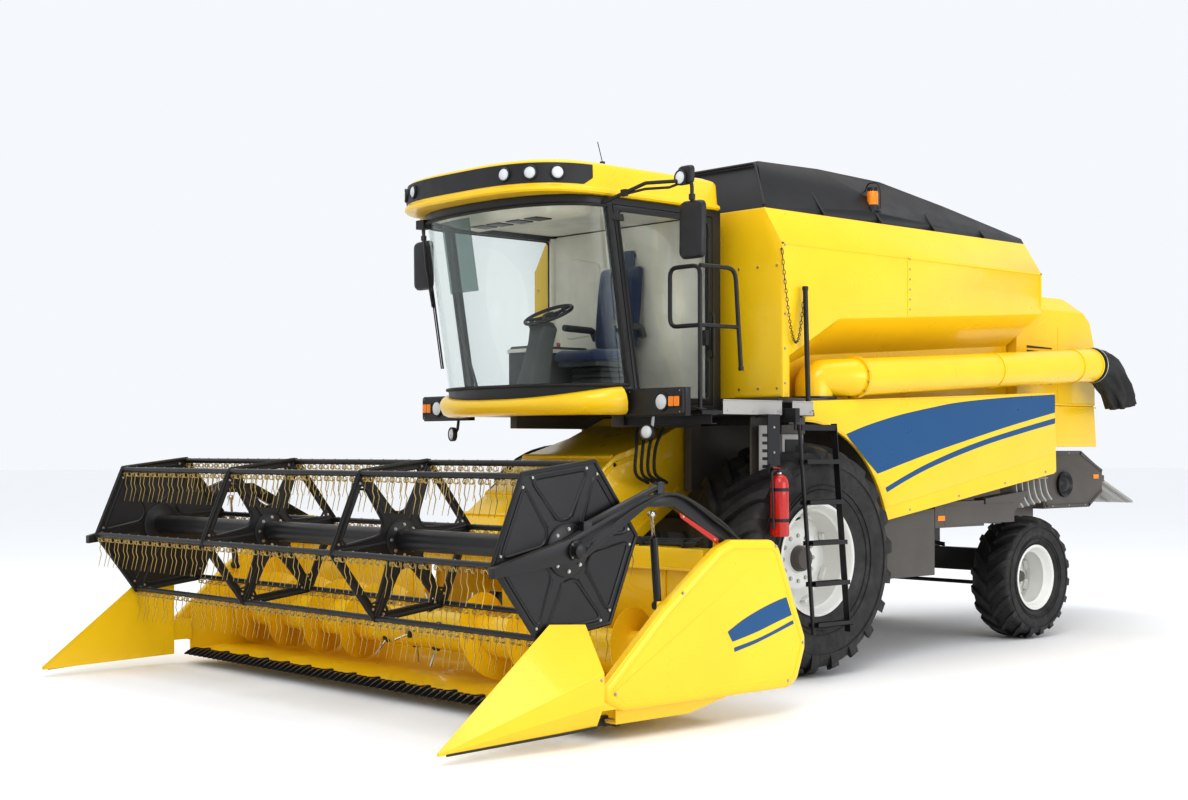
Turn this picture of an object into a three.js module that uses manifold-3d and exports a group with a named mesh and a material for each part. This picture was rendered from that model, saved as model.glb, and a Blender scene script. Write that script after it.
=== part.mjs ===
// Combine harvester with a grain header, in millimetres.
// x points to the machine's left, y to the rear and z up.  The front axle is at y = 0 and the
// ground at z = 0 while the parts are described; the last group centres the whole on its length.
import * as THREE from 'three';
import { mergeVertices } from 'three/addons/utils/BufferGeometryUtils.js';
import { ConvexGeometry } from 'three/addons/geometries/ConvexGeometry.js';
import Module from 'manifold-3d';

const wasm = await Module();
wasm.setup();

// ---- driving dimensions ------------------------------------------------------------------
const GAP = 0.3;                    // between pieces that touch
const RUN = 1.0;                    // radial play of a piston rod in its bore
const HOLE_SIDES = 16;              // of a shaft that turns in a hole, and of the hole
const boreFor = (shaft) => shaft / Math.cos(Math.PI / HOLE_SIDES) + RUN / 4;
const SHEET = 12;                   // header sheet metal

const WHEELBASE = 3563;
const FRONT_WHEEL = { x: 1290, radius: 920, width: 780, rim: 440, bead: 300, disc: 60, sides: 24 };
const REAR_WHEEL = { x: 1097, radius: 575, width: 400, rim: 300, bead: 150, disc: -110, sides: 20 };
const STEER_PIN = { x: 820, low: 610, high: 820, plate: 30, radius: 60 };
const TIE_ARM = 220;                // from steering pin forward to the tie rod's pin

const BODY_HALF = 660;              // threshing body
const BODY_LOW = 1200;
const AXLE_MOUNT_HALF = 73;         // along the machine, of the frame's pedestal on the rear axle
const SIDE_PANEL = { inner: 1445, outer: 1480, arch: 1080 };
const DECK = { half: SIDE_PANEL.inner - GAP, low: 2150, high: 2189.7, front: -280, rear: 3590 };
const RAIL = { inner: 560, outer: 640, low: 1080, front: -100, rear: 4480 };
const OUTRIGGERS = [1300, 2100, 2700];  // along the machine
const SKIRT = { inner: 1400, outer: 1440, front: 1000, rear: 1740, low: 700, high: 1270 };
const SIDE_BOX = { inner: 1300, outer: 1430, front: 1900, rear: 2960, low: 1120, high: 1290 };

const FEEDER = { half: 545, pivotY: -300, pivotZ: 1750, radius: 300, front: -2110 };
const HEADER_HALF = 2610;           // inner faces of the header's end sheets
const SHIELD_OUTER = HEADER_HALF + 90;
const AUGER = { y: -2600, z: 455, radius: 305, tube: 150, pitch: 520, steps: 14 };
const TROUGH_PLAY = 20;
const BACK_TOP = 1010;
const KNIFE = { front: -3130, rear: -3050, half: HEADER_HALF - 70, low: 112, thick: 6 };

const ARM = { inner: HEADER_HALF - 65, outer: HEADER_HALF - 10, pivotY: -2030, pivotZ: 1160 };
const REEL_RADIUS = 565;            // of the circle the tine bars stand on
const REEL = {
  y: -3442, z: 1178, radius: REEL_RADIUS, plate: REEL_RADIUS + 35, half: ARM.inner - 21, shaft: 75, stub: 30, bar: 15,
  phase: 6.96,
};
const REEL_SPIDERS = [-840, 840];
const BAR_COUNT = 6;
const DIVIDER = { inner: ARM.inner, outer: HEADER_HALF + 110, tip: -4452, rear: -3310 };
const ARM_PIN = 25;
const REEL_CYLINDER = { y: -2720, z: 800, topY: -2770, topZ: 1380, barrel: 26, rod: 13, length: 430, inside: 455 };
const LIFT_CYLINDER = {
  x: 330, y: -170, z: 900, topY: -1350, topZ: 730, barrel: 50, rod: 28, cross: 30, length: 800, inside: 760,
};

const CAB = { half: 985, front: -1970, pillar: -1400, rear: -450, low: 2060, high: 3670, wall: 50, lean: 0.165 };
const CAB_FLOOR = 60;
const WINDOW = { low: 2270, high: 3600 };
const DOOR = { front: -1400, rear: -540, low: 2130, high: 3620, frame: 45, thick: 40 };
const LIGHT_PANEL = { front: DOOR.front - 55, rear: DOOR.front, outer: 1580, low: 2030, high: 2240 };
const GLASS = 8;
const ROOF = { high: 3960, overhang: 30, front: -2370 };

const TANK = { half: 1480, low: 2190, shoulder: 3400, high: 3690, top: 1300, front: -280, rear: 3340, wall: 30 };
const EXTENSION_WALL = 20;

const TUBE_RADIUS = 155;            // of the unloading auger
const TUBE_FLANGE = TUBE_RADIUS + 18;
const UNLOADER = {
  pivotX: 1270, pivotY: 350, x: 1455, z: DECK.high + 7.3 + TUBE_FLANGE, radius: TUBE_RADIUS, flangeY: 630, endY: 4216,
  rise: 0.059,
};
const POCKET = {
  inner: UNLOADER.pivotX - TUBE_RADIUS - 15, foldFront: 2860, foldY: 435, slope: 0.065, mouthZ: 2530, mouthY: -200,
  drop: 300,
};
const PLATFORM = { inner: CAB.half + 15, outer: 1600, front: -1300, rear: -30, low: 2040, high: 2080 };
const LADDER = {
  topX: 1715, bottomX: 1850, topZ: 1985, bottomZ: 370, frontY: -350, rearY: 60, stile: 30, steps: 5, hingeX: 1700,
  hingeY: -380, hingeZ: 1990,
};
const HOOD = { half: 1200, front: 3360, rear: 4720, low: 2200, wall: 30 };
const STRAW_HOOD = { half: 1190, front: 3600, low: 1800 };
const CHOPPER = { half: 750, front: 4500, rear: 5600, low: 1180, high: 1760 };
const DEFLECTOR = { half: CHOPPER.half - 35, play: 12, hingeZ: 1470, rear: 6270, rearZ: 1200 };

// ---- materials ---------------------------------------------------------------------------
const finish = (color, roughness, metalness) => new THREE.MeshStandardMaterial({ color, roughness, metalness });
const yellow = finish(0xf7cf12, 0.35, 0.0);
const black = finish(0x1b1b1d, 0.5, 0.1);
const frameGrey = finish(0x5b5650, 0.6, 0.1);
const white = finish(0xe9e9e4, 0.4, 0.1);
const tyreRubber = finish(0x1a1a1a, 0.85, 0.0);
const softRubber = finish(0x161616, 0.8, 0.0);
const glass = finish(0xa9c2bb, 0.05, 0.0);
const steel = finish(0x9a9c9e, 0.3, 0.9);
const seatBlue = finish(0x23304c, 0.9, 0.0);
const cabGrey = finish(0x8a8478, 0.7, 0.0);
const paleGrey = finish(0xb9b7b2, 0.5, 0.2);
const red = finish(0xc1121c, 0.35, 0.0);

// ---- solids ------------------------------------------------------------------------------
// A closed three.js geometry as a solid, with its faces turned outward.
function solid(geometry) {
  const bare = new THREE.BufferGeometry();
  bare.setAttribute('position', geometry.getAttribute('position').clone());
  if (geometry.index) bare.setIndex(geometry.index.clone());
  const merged = mergeVertices(bare, 1e-3);
  const points = merged.getAttribute('position').array;
  const corners = merged.index.array;
  const triangles = [];
  let volume = 0;
  const a = new THREE.Vector3();
  const b = new THREE.Vector3();
  const c = new THREE.Vector3();
  for (let i = 0; i < corners.length; i += 3) {
    const [p, q, r] = [corners[i], corners[i + 1], corners[i + 2]];
    if (p === q || q === r || r === p) continue;
    triangles.push(p, q, r);
    volume += a.fromArray(points, 3 * p).dot(b.fromArray(points, 3 * q).cross(c.fromArray(points, 3 * r)));
  }
  if (volume < 0) triangles.reverse();
  return new wasm.Manifold(new wasm.Mesh({
    numProp: 3,
    vertProperties: new Float32Array(points),
    triVerts: new Uint32Array(triangles),
  }));
}

function geometryOf(body) {
  const mesh = body.getMesh();
  const geometry = new THREE.BufferGeometry();
  geometry.setAttribute('position', new THREE.BufferAttribute(mesh.vertProperties, mesh.numProp));
  geometry.setIndex(new THREE.BufferAttribute(mesh.triVerts, 1));
  geometry.computeVertexNormals();
  return geometry;
}

const join = (first, ...others) => others.reduce((whole, piece) => whole.add(piece), first);
const cut = (first, ...others) => others.reduce((whole, piece) => whole.subtract(piece), first);

// The same solid under a matrix; a mirror turns its faces inside out, so they are reversed.
function moved(body, matrix) {
  const { vertProperties, triVerts } = body.getMesh();
  const points = new THREE.BufferAttribute(vertProperties, 3).applyMatrix4(matrix);
  if (matrix.determinant() < 0) triVerts.reverse();
  return new wasm.Manifold(new wasm.Mesh({ numProp: 3, vertProperties: points.array, triVerts }));
}
const mirrored = (body) => moved(body, new THREE.Matrix4().makeScale(-1, 1, 1));
const bothSides = (body) => join(body, mirrored(body));

function box(x0, x1, y0, y1, z0, z1) {
  const block = new THREE.BoxGeometry(x1 - x0, y1 - y0, z1 - z0);
  return solid(block.translate((x0 + x1) / 2, (y0 + y1) / 2, (z0 + z1) / 2));
}

function extruded(outline, depth) {
  const shape = new THREE.Shape(outline.map(([u, v]) => new THREE.Vector2(u, v)));
  return new THREE.ExtrudeGeometry(shape, { depth, bevelEnabled: false });
}

// Outline of [y, z] points, from x0 to x1.
function slabX(outline, x0, x1) {
  const turn = new THREE.Matrix4().set(0, 0, 1, x0, 1, 0, 0, 0, 0, 1, 0, 0, 0, 0, 0, 1);
  return solid(extruded(outline, x1 - x0).applyMatrix4(turn));
}

// Outline of [x, z] points, from y0 to y1.
function slabY(outline, y0, y1) {
  const turn = new THREE.Matrix4().set(1, 0, 0, 0, 0, 0, 1, y0, 0, 1, 0, 0, 0, 0, 0, 1);
  return solid(extruded(outline, y1 - y0).applyMatrix4(turn));
}

// Outline of [x, y] points, from z0 to z1; lean moves it forward by that much per unit of height.
function slabZ(outline, z0, z1, lean = 0, leanFrom = z0) {
  const turn = new THREE.Matrix4().set(1, 0, 0, 0, 0, 1, -lean, lean * (leanFrom - z0), 0, 0, 1, z0, 0, 0, 0, 1);
  return solid(extruded(outline, z1 - z0).applyMatrix4(turn));
}

function hull(points) {
  return solid(new ConvexGeometry(points.map((point) => new THREE.Vector3(...point))));
}

function rod(from, to, radius, sides = 12, endRadius = radius, overrun = 0) {
  const start = new THREE.Vector3(...from);
  const axis = new THREE.Vector3(...to).sub(start);
  const length = axis.length() + 2 * overrun;
  const middle = start.clone().addScaledVector(axis, 0.5);
  const turn = new THREE.Quaternion().setFromUnitVectors(new THREE.Vector3(0, 1, 0), axis.clone().normalize());
  const cylinder = new THREE.CylinderGeometry(endRadius, radius, length, sides);
  return solid(cylinder.applyQuaternion(turn).translate(middle.x, middle.y, middle.z));
}

// A bent round bar through the points; its straight runs overlap at the bends.
function bentBar(points, radius, sides = 6) {
  const runs = points.slice(1).map((point, i) => rod(points[i], point, radius, sides, radius, radius * 0.6));
  return join(...runs);
}

// A body of revolution about the x axis from [x, r] points.
function turned(profile, sides) {
  const points = profile.map(([x, r]) => new THREE.Vector2(r, x));
  return solid(new THREE.LatheGeometry(points, sides).rotateZ(-Math.PI / 2));
}

function arcPoints(centre, radius, from, to, count) {
  return Array.from({ length: count + 1 }, (_, i) => {
    const angle = THREE.MathUtils.degToRad(from + ((to - from) * i) / count);
    return [centre[0] + radius * Math.cos(angle), centre[1] + radius * Math.sin(angle)];
  });
}

const combine = new THREE.Group();

function place(name, body, material, parent = combine) {
  const mesh = new THREE.Mesh(geometryOf(body), material);
  mesh.name = name;
  parent.add(mesh);
  return mesh;
}

function groupAt(x, y, z, parent = combine) {
  const group = new THREE.Group();
  group.position.set(x, y, z);
  parent.add(group);
  return group;
}

const SIDES = [['left', 1], ['right', -1]];
const onSide = (body, side) => (side > 0 ? body : mirrored(body));

// ---- wheels ------------------------------------------------------------------------------
function tyreBody({ radius, width, rim, bead, sides }) {
  const half = width / 2;
  const wall = radius - rim;
  const outer = [[bead, rim + GAP], [half, rim + 0.3 * wall], [half, rim + 0.7 * wall],
    [0.85 * half, rim + 0.92 * wall], [0.5 * half, radius]];
  const inner = outer.map(([x, r]) => [-x, r]).reverse();
  return turned([...outer, ...inner, outer[0]], sides);
}

function rimBody({ rim, bead, disc, sides }) {
  const lining = 15;
  const hub = 140;
  const inside = rim - lining;
  return turned([[disc - 20, 0], [disc - 20, hub], [disc + 10, inside], [-bead, inside], [-bead, rim],
    [bead, rim], [bead, inside], [disc + 30, inside], [disc + 50, hub], [disc + 50, 0]], sides);
}

function addWheel(end, side, wheel, y) {
  const [sideName, sign] = side;
  const hub = groupAt(sign * wheel.x, y, wheel.radius);
  hub.rotation.z = sign > 0 ? 0 : Math.PI;
  place(`${end}_tyre_${sideName}`, tyreBody(wheel), tyreRubber, hub);
  place(`${end}_rim_${sideName}`, rimBody(wheel), white, hub);
}

for (const side of SIDES) {
  addWheel('front', side, FRONT_WHEEL, 0);
  addWheel('rear', side, REAR_WHEEL, WHEELBASE);
}

// ---- axles and steering ------------------------------------------------------------------
const hubFace = (wheel) => wheel.x + wheel.disc - 20 - GAP;

function frontAxle() {
  const half = 860;
  const beam = box(-half, half, -110, 110, 800, 1010);
  const reducer = rod([700, 0, FRONT_WHEEL.radius], [half, 0, FRONT_WHEEL.radius], 230, 20);
  const hub = rod([half - 10, 0, FRONT_WHEEL.radius], [hubFace(FRONT_WHEEL), 0, FRONT_WHEEL.radius], 120, 20);
  const lug = box(230, 265, LIFT_CYLINDER.y - 60, 0, LIFT_CYLINDER.z - 70, LIFT_CYLINDER.z + 70);
  const holes = rod([-400, LIFT_CYLINDER.y, LIFT_CYLINDER.z], [400, LIFT_CYLINDER.y, LIFT_CYLINDER.z],
    boreFor(LIFT_CYLINDER.cross), HOLE_SIDES);
  return cut(join(beam, bothSides(join(reducer, hub, lug))), holes);
}
place('front_axle', frontAxle(), black);

function rearAxle() {
  const { x, low, high, plate, radius } = STEER_PIN;
  const beam = box(-x + 90, x - 90, WHEELBASE - 75, WHEELBASE + 75, low, high);
  const yoke = [[high - plate, high], [low, low + plate]].flatMap(([z0, z1]) => [
    box(x - 120, x, WHEELBASE - radius, WHEELBASE + radius, z0, z1),
    rod([x, WHEELBASE, z0], [x, WHEELBASE, z1], radius, 16)]);
  return join(beam, bothSides(join(...yoke)));
}
place('rear_axle', rearAxle(), black);

function knuckle() {
  const { x, low, high, plate, radius } = STEER_PIN;
  const post = rod([x, WHEELBASE, low + plate + GAP], [x, WHEELBASE, high - plate - GAP], 45, 16);
  const neck = box(x, x + 110, WHEELBASE - 45, WHEELBASE + 45, low + plate + 10, high - plate - 10);
  const block = box(x + radius + 10, x + 110, WHEELBASE - 60, WHEELBASE + 60, 500, high - plate - 10);
  const stub = rod([x + 100, WHEELBASE, REAR_WHEEL.radius], [hubFace(REAR_WHEEL), WHEELBASE, REAR_WHEEL.radius], 70, 16);
  const arm = box(x - 30, x + 100, WHEELBASE - TIE_ARM - 30, WHEELBASE + 50, 540, 595);
  return join(post, neck, block, stub, arm);
}
for (const [name, sign] of SIDES) place(`knuckle_${name}`, onSide(knuckle(), sign), black);

function tieRod() {
  const y = WHEELBASE - TIE_ARM;
  const z = 510;
  const bar = rod([-STEER_PIN.x, y, z], [STEER_PIN.x, y, z], 18, 12);
  const pin = rod([STEER_PIN.x, y, z], [STEER_PIN.x, y, 540 - GAP], 14, 12);
  return join(bar, bothSides(pin));
}
place('tie_rod', tieRod(), black);

// ---- frame and threshing body ------------------------------------------------------------
function chassisFrame() {
  const top = BODY_LOW - GAP;
  const rail = box(RAIL.inner, RAIL.outer, RAIL.front, RAIL.rear, RAIL.low, top);
  const outriggers = OUTRIGGERS.map((y) => box(RAIL.inner, SKIRT.inner + 10, y, y + 80, 1110, 1180));
  const skirt = box(SKIRT.inner, SKIRT.outer, SKIRT.front, SKIRT.rear, SKIRT.low, SKIRT.high);
  const housing = box(SIDE_BOX.inner, SIDE_BOX.outer, SIDE_BOX.front, SIDE_BOX.rear, SIDE_BOX.low, SIDE_BOX.high);
  const saddle = box(RAIL.inner - 60, RAIL.outer, -90, 90, 1010 + GAP, 1100);
  const mount = [WHEELBASE - AXLE_MOUNT_HALF, WHEELBASE + AXLE_MOUNT_HALF];
  const crossMembers = [[-60, 60], [1750, 1850], mount].map(
    ([y0, y1]) => box(-RAIL.outer, RAIL.outer, y0, y1, RAIL.low, top));
  const pedestal = box(-120, 120, ...mount, STEER_PIN.high + GAP, RAIL.low + 20);
  return join(...crossMembers, pedestal, bothSides(join(rail, skirt, housing, saddle, ...outriggers)));
}
place('chassis_frame', chassisFrame(), frameGrey);

function threshingBody() {
  const rear = CHOPPER.front - GAP;
  const outline = [[40, BODY_LOW], [rear, BODY_LOW], [rear, STRAW_HOOD.low - GAP],
    [STRAW_HOOD.front - 10, STRAW_HOOD.low - GAP], [STRAW_HOOD.front - 10, DECK.low + 20], [40, DECK.low + 20]];
  const core = slabX(outline, -BODY_HALF, BODY_HALF);
  const deck = box(-DECK.half, DECK.half, DECK.front, DECK.rear, DECK.low, DECK.high);
  const cheek = box(575, BODY_HALF, -450, 60, 1450, DECK.low + 10);
  const cabBeam = box(575, BODY_HALF, -1250, 0, 1960, CAB.low - GAP);
  const pin = rod([FEEDER.half + GAP, FEEDER.pivotY, FEEDER.pivotZ], [600, FEEDER.pivotY, FEEDER.pivotZ], 60, 16);
  return join(core, deck, bothSides(join(cheek, cabBeam, pin)));
}
place('threshing_body', threshingBody(), frameGrey);

function strawHood() {
  const outline = [[STRAW_HOOD.front, STRAW_HOOD.low], [HOOD.rear + 40, STRAW_HOOD.low],
    [HOOD.rear, HOOD.low - GAP], [STRAW_HOOD.front, HOOD.low - GAP]];
  return slabX(outline, -STRAW_HOOD.half, STRAW_HOOD.half);
}
place('straw_hood', strawHood(), yellow);

function engineHood() {
  const shell = (inset, low) => slabX([[HOOD.front + inset, low], [HOOD.rear - inset, low],
    [HOOD.rear - 10 - inset, 2790], [HOOD.rear - 90 - inset, 3020], [4330 - inset, 3250 - inset],
    [HOOD.front + inset, 3250 - inset]], -HOOD.half + inset, HOOD.half - inset);
  // The bevel along each top edge, moved inwards for the hollow so that the wall keeps its thickness.
  const bevel = (inset) => hull([HOOD.front - 10, HOOD.rear + 10].flatMap((y) => [[HOOD.half + 10, 3250],
    [HOOD.half - 130, 3260], [HOOD.half + 10, 3100]].map(([x, z]) => [x - inset, y, z - inset])));
  const hollow = cut(shell(HOOD.wall, HOOD.low - 50), bothSides(bevel(HOOD.wall)));
  return cut(shell(0, HOOD.low), bothSides(bevel(0)), hollow);
}
place('engine_hood', engineHood(), yellow);
place('engine_block', box(-420, 420, 3650, 4450, HOOD.low, 2900), frameGrey);

function chopper() {
  const outline = [[CHOPPER.front, CHOPPER.low], [CHOPPER.rear - 250, CHOPPER.low], [CHOPPER.rear, 1330],
    [CHOPPER.rear, 1560], [CHOPPER.rear - 400, CHOPPER.high], [CHOPPER.front, CHOPPER.high]];
  const lug = box(DEFLECTOR.half + GAP, CHOPPER.half, CHOPPER.rear - 10, CHOPPER.rear + 40, DEFLECTOR.hingeZ - 35,
    DEFLECTOR.hingeZ + 35);
  return join(slabX(outline, -CHOPPER.half, CHOPPER.half), lug, mirrored(lug));
}
place('chopper_housing', chopper(), frameGrey);

function strawDeflector() {
  const { half, play, hingeZ, rear, rearZ } = DEFLECTOR;
  const y = CHOPPER.rear + play;
  return slabX([[y, hingeZ - 15], [rear, rearZ], [rear, rearZ + 25], [y, hingeZ + 15]], -half, half);
}
place('straw_deflector', strawDeflector(), paleGrey);

// ---- grain tank --------------------------------------------------------------------------
function pocketCutter() {
  const { inner, foldFront, foldY, slope, mouthZ, mouthY, drop } = POCKET;
  const outer = TANK.half + 30;
  const low = TANK.low - 30;
  const foldRear = foldFront + slope * (TANK.rear + 50 - foldY);
  const section = (y, fold) => [[outer, y, fold], [inner, y, fold - drop], [inner, y, low], [outer, y, low]];
  const main = hull([...section(foldY, foldFront), ...section(TANK.rear + 50, foldRear)]);
  const mouth = hull([...section(foldY, foldFront), [outer, mouthY, mouthZ], [outer, mouthY, low],
    [inner, mouthY + 150, low], [inner, mouthY + 150, mouthZ - 150]]);
  return join(main, mouth);
}

function grainTank() {
  const { half, low, shoulder, high, top, front, rear, wall } = TANK;
  const outer = slabY([[-half, low], [half, low], [half, shoulder], [top, high], [-top, high], [-half, shoulder]],
    front, rear);
  const floor = low + wall;
  const sill = POCKET.foldFront + POCKET.slope * (rear - POCKET.foldY) + wall;
  const inner = slabY([[-POCKET.inner + wall, floor], [POCKET.inner - wall, floor],
    [POCKET.inner - wall, sill - POCKET.drop], [half - wall, sill + wall], [half - wall, shoulder],
    [top - wall, high + 10], [-top + wall, high + 10], [-half + wall, shoulder], [-half + wall, sill + wall],
    [-POCKET.inner + wall, sill - POCKET.drop]], front + wall, rear - wall);
  return cut(outer, bothSides(pocketCutter()), inner);
}
place('grain_tank', grainTank(), yellow);

function tankExtension() {
  const low = TANK.high + GAP;
  const side = (inset) => [[TANK.front + 5 + inset, low - inset], [-60 + inset, 4110], [700, 4130], [1500, 4104],
    [2300, 3960], [TANK.rear - 5 - inset, 3740], [TANK.rear - 5 - inset, low - inset]];
  const across = (inset) => [[5 - TANK.top + inset, low - inset], [TANK.top - 5 - inset, low - inset], [1020 - inset, 4140],
    [-1020 + inset, 4140]];
  const outer = slabX(side(0), -1300, 1300).intersect(slabY(across(0), -300, 3400));
  const raised = new THREE.Matrix4().makeTranslation(0, 0, 30);
  const hollow = slabX(side(EXTENSION_WALL), -1300, 1300).intersect(slabY(across(EXTENSION_WALL), -300, 3400));
  const beacon = join(rod([1190, 1220, 3790], [1190, 1220, 4010], 45, 12), box(1130, 1235, 1160, 1280, 3770, 3810));
  return join(cut(outer, hollow, moved(hollow, raised)), cut(beacon, hollow));
}
place('tank_extension', tankExtension(), black);

// ---- unloading auger ---------------------------------------------------------------------
function unloadingTube() {
  const { pivotX, pivotY, x, z, radius, flangeY, endY, rise } = UNLOADER;
  const post = rod([pivotX, pivotY, DECK.high + GAP], [pivotX, pivotY, z + 60], radius, 16);
  const elbow = rod([pivotX - 20, pivotY - 40, z], [x, flangeY, z], radius, 16);
  const tube = rod([x, flangeY - 60, z - 60 * rise], [x, endY, z + rise * (endY - flangeY)], radius, 16);
  const flange = rod([x, flangeY, z], [x, flangeY + 30, z + 30 * rise], TUBE_FLANGE, 16);
  return join(post, elbow, tube, flange);
}
place('unloading_tube', unloadingTube(), yellow);

function unloadingSpout() {
  const { x, z, radius, flangeY, endY, rise } = UNLOADER;
  const topZ = z + rise * (endY - flangeY);
  const y = endY + GAP + 0.06 * radius;
  const ring = arcPoints([x, topZ], radius + 10, 0, 330, 11).flatMap(([u, v]) => [[u, y, v], [u, y + 150, v]]);
  const mouth = [[x - 120, y + 350, 2230], [x + 120, y + 350, 2230], [x - 110, y + 640, 2090], [x + 110, y + 640, 2090],
    [x - 110, y + 540, 2420], [x + 110, y + 540, 2420]];
  return hull([...ring, ...mouth]);
}
place('unloading_spout', unloadingSpout(), softRubber);

// ---- side panels -------------------------------------------------------------------------
function sidePanel() {
  const frontEdge = -20;
  const [topFront, topRear] = [2164, 2308];
  const archStart = THREE.MathUtils.radToDeg(Math.asin((1190 - FRONT_WHEEL.radius) / SIDE_PANEL.arch));
  const archEnd = THREE.MathUtils.radToDeg(Math.acos(frontEdge / SIDE_PANEL.arch));
  const arch = arcPoints([0, FRONT_WHEEL.radius], SIDE_PANEL.arch, archStart, archEnd, 10);
  return slabX([[frontEdge, topFront], [3570, topRear], [3588, 1570], [3550, 1550], ...arch].reverse(),
    SIDE_PANEL.inner, SIDE_PANEL.outer);
}
for (const [name, sign] of SIDES) place(`side_panel_${name}`, onSide(sidePanel(), sign), yellow);

// ---- cab ---------------------------------------------------------------------------------
// Plan outline of the cab, inset by a wall; the front is a half ellipse-like bow.
function cabPlan(inset, rear) {
  const half = CAB.half - inset;
  const depth = CAB.pillar - CAB.front - inset;
  const bow = Array.from({ length: 13 }, (_, i) => {
    const angle = (Math.PI * i) / 12;
    const u = Math.cos(angle);
    const v = Math.sin(angle);
    return [half * Math.sign(u) * Math.abs(u) ** 0.8, CAB.pillar - depth * v ** 0.8];
  });
  return [[-half, rear], [half, rear], ...bow].reverse();
}
const cabLoft = (inset, low, high) => slabZ(cabPlan(inset, 200), low, high, CAB.lean, WINDOW.low);
const aheadOf = (y) => box(-2000, 2000, -4000, y, 1000, 5000);

// A window in the cab's left side, leaning as the cab does.
function leaningSlab(front, rear, low, high, x0, x1) {
  const at = (y, z) => [y - CAB.lean * (z - WINDOW.low), z];
  const fixedRear = (z) => [rear, z];
  return slabX([at(front, low), fixedRear(low), fixedRear(high), at(front, high)], x0, x1);
}

function doorHingePlaces() {
  return [DOOR.low + 60, DOOR.high - 120].map((z) => [DOOR.front + 5 - CAB.lean * (z - WINDOW.low), z]);
}

// Half a hinge, from one distance behind the hinge line to another, leaning as the line does.
function hingeLug([y, z], from, to) {
  const height = 50;
  const shift = CAB.lean * height;
  return slabX([[y + from, z], [y + to, z], [y + to - shift, z + height], [y + from - shift, z + height]],
    CAB.half - 5, CAB.half + 14);
}

function cabShell() {
  const outer = cabLoft(0, CAB.low, CAB.high).intersect(aheadOf(CAB.rear));
  const inner = cabLoft(CAB.wall, CAB.low + CAB_FLOOR, CAB.high + 50).intersect(aheadOf(CAB.rear - CAB.wall));
  const pillarInset = 50;
  const windshield = cabLoft(-100, WINDOW.low, WINDOW.high).intersect(
    leaningSlab(-2700, CAB.pillar - pillarInset, WINDOW.low, WINDOW.high, -CAB.half, CAB.half));
  const shear = slabX([[-4000, WINDOW.low], [CAB.pillar - pillarInset, WINDOW.low],
    [CAB.pillar - pillarInset - CAB.lean * (WINDOW.high - WINDOW.low), WINDOW.high], [-4000, WINDOW.high]],
  -1500, 1500);
  const doorway = leaningSlab(DOOR.front, DOOR.rear, DOOR.low, DOOR.high, CAB.half - 200, CAB.half + 2);
  const sideWindow = leaningSlab(DOOR.front, DOOR.rear, WINDOW.low, WINDOW.high, -CAB.half - 50, -CAB.half + 200);
  const rearWindow = box(-700, 700, CAB.rear - 200, CAB.rear + 50, 2750, WINDOW.high - 50);
  const hingeLugs = doorHingePlaces().map((place) => hingeLug(place, -60, -GAP));
  const { front, rear, outer: panelOuter, low, high } = LIGHT_PANEL;
  const lightPanel = box(CAB.half - 40, panelOuter, front, rear, low, high);
  return cut(join(outer, ...hingeLugs, bothSides(lightPanel)), inner, windshield.intersect(shear), doorway, sideWindow,
    rearWindow);
}
place('cab_shell', cabShell(), black);

function windshieldGlass() {
  const low = WINDOW.low + GAP;
  const high = WINDOW.high - GAP;
  const band = cut(cabLoft(10, low, high), cabLoft(10 + GLASS, low - 50, high + 50));
  const rear = CAB.pillar - 50 - 2 * GAP;
  const front = slabX([[-4000, low], [rear, low], [rear - CAB.lean * (high - low), high], [-4000, high]], -1500, 1500);
  return band.intersect(front);
}
place('windshield', windshieldGlass(), glass);

function sideGlass(x0, x1, front, rear, low, high) {
  return leaningSlab(front + 2 * GAP, rear - 2 * GAP, low + GAP, high - GAP, x0, x1);
}
place('side_window_right', sideGlass(-CAB.half + 12, -CAB.half + 12 + GLASS, DOOR.front, DOOR.rear, WINDOW.low,
  WINDOW.high), glass);

function cabDoor() {
  const { front, rear, low, high, frame, thick } = DOOR;
  const play = 6;
  const leaf = leaningSlab(front + play, rear - play, low + play, high - play, CAB.half - thick, CAB.half);
  const pane = leaningSlab(front + frame, rear - frame, low + frame, high - frame, CAB.half - thick - 10, CAB.half + 10);
  const handle = box(CAB.half - 10, CAB.half + 30, rear - 60, rear - 30, 2560, 2760);
  const hinges = doorHingePlaces().map((place) => hingeLug(place, 0, 85));
  return join(cut(leaf, pane), handle, ...hinges);
}
place('cab_door', cabDoor(), black);
place('door_glass', sideGlass(CAB.half - 24, CAB.half - 24 + GLASS, DOOR.front + DOOR.frame, DOOR.rear - DOOR.frame,
  DOOR.low + DOOR.frame, DOOR.high - DOOR.frame), glass);

function cabRoof() {
  const low = CAB.high + GAP;
  const plan = (inset, front) => {
    const half = CAB.half + ROOF.overhang - inset;
    return [[-half, CAB.rear + ROOF.overhang], [half, CAB.rear + ROOF.overhang], [half, -1650],
      [half - 120, -1980], [0.6 * half, front + 100], [0, front], [-0.6 * half, front + 100], [-half + 120, -1980],
      [-half, -1650]].reverse();
  };
  return join(slabZ(plan(0, ROOF.front), low, 3860), slabZ(plan(70, ROOF.front + 90), 3850, 3925),
    slabZ(plan(170, ROOF.front + 230), 3920, ROOF.high));
}
place('cab_roof', cabRoof(), yellow);

function driverSeat() {
  const base = box(-190, 190, -1000, -680, CAB.low + CAB_FLOOR + GAP, 2500);
  const cushion = box(-260, 260, -1150, -640, 2480, 2610);
  const back = slabX([[-700, 2560], [-590, 2560], [-540, 3260], [-630, 3260]], -250, 250);
  const head = box(-140, 140, -620, -550, 3200, 3420);
  return join(base, cushion, back, head);
}
place('driver_seat', driverSeat(), seatBlue);

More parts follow.
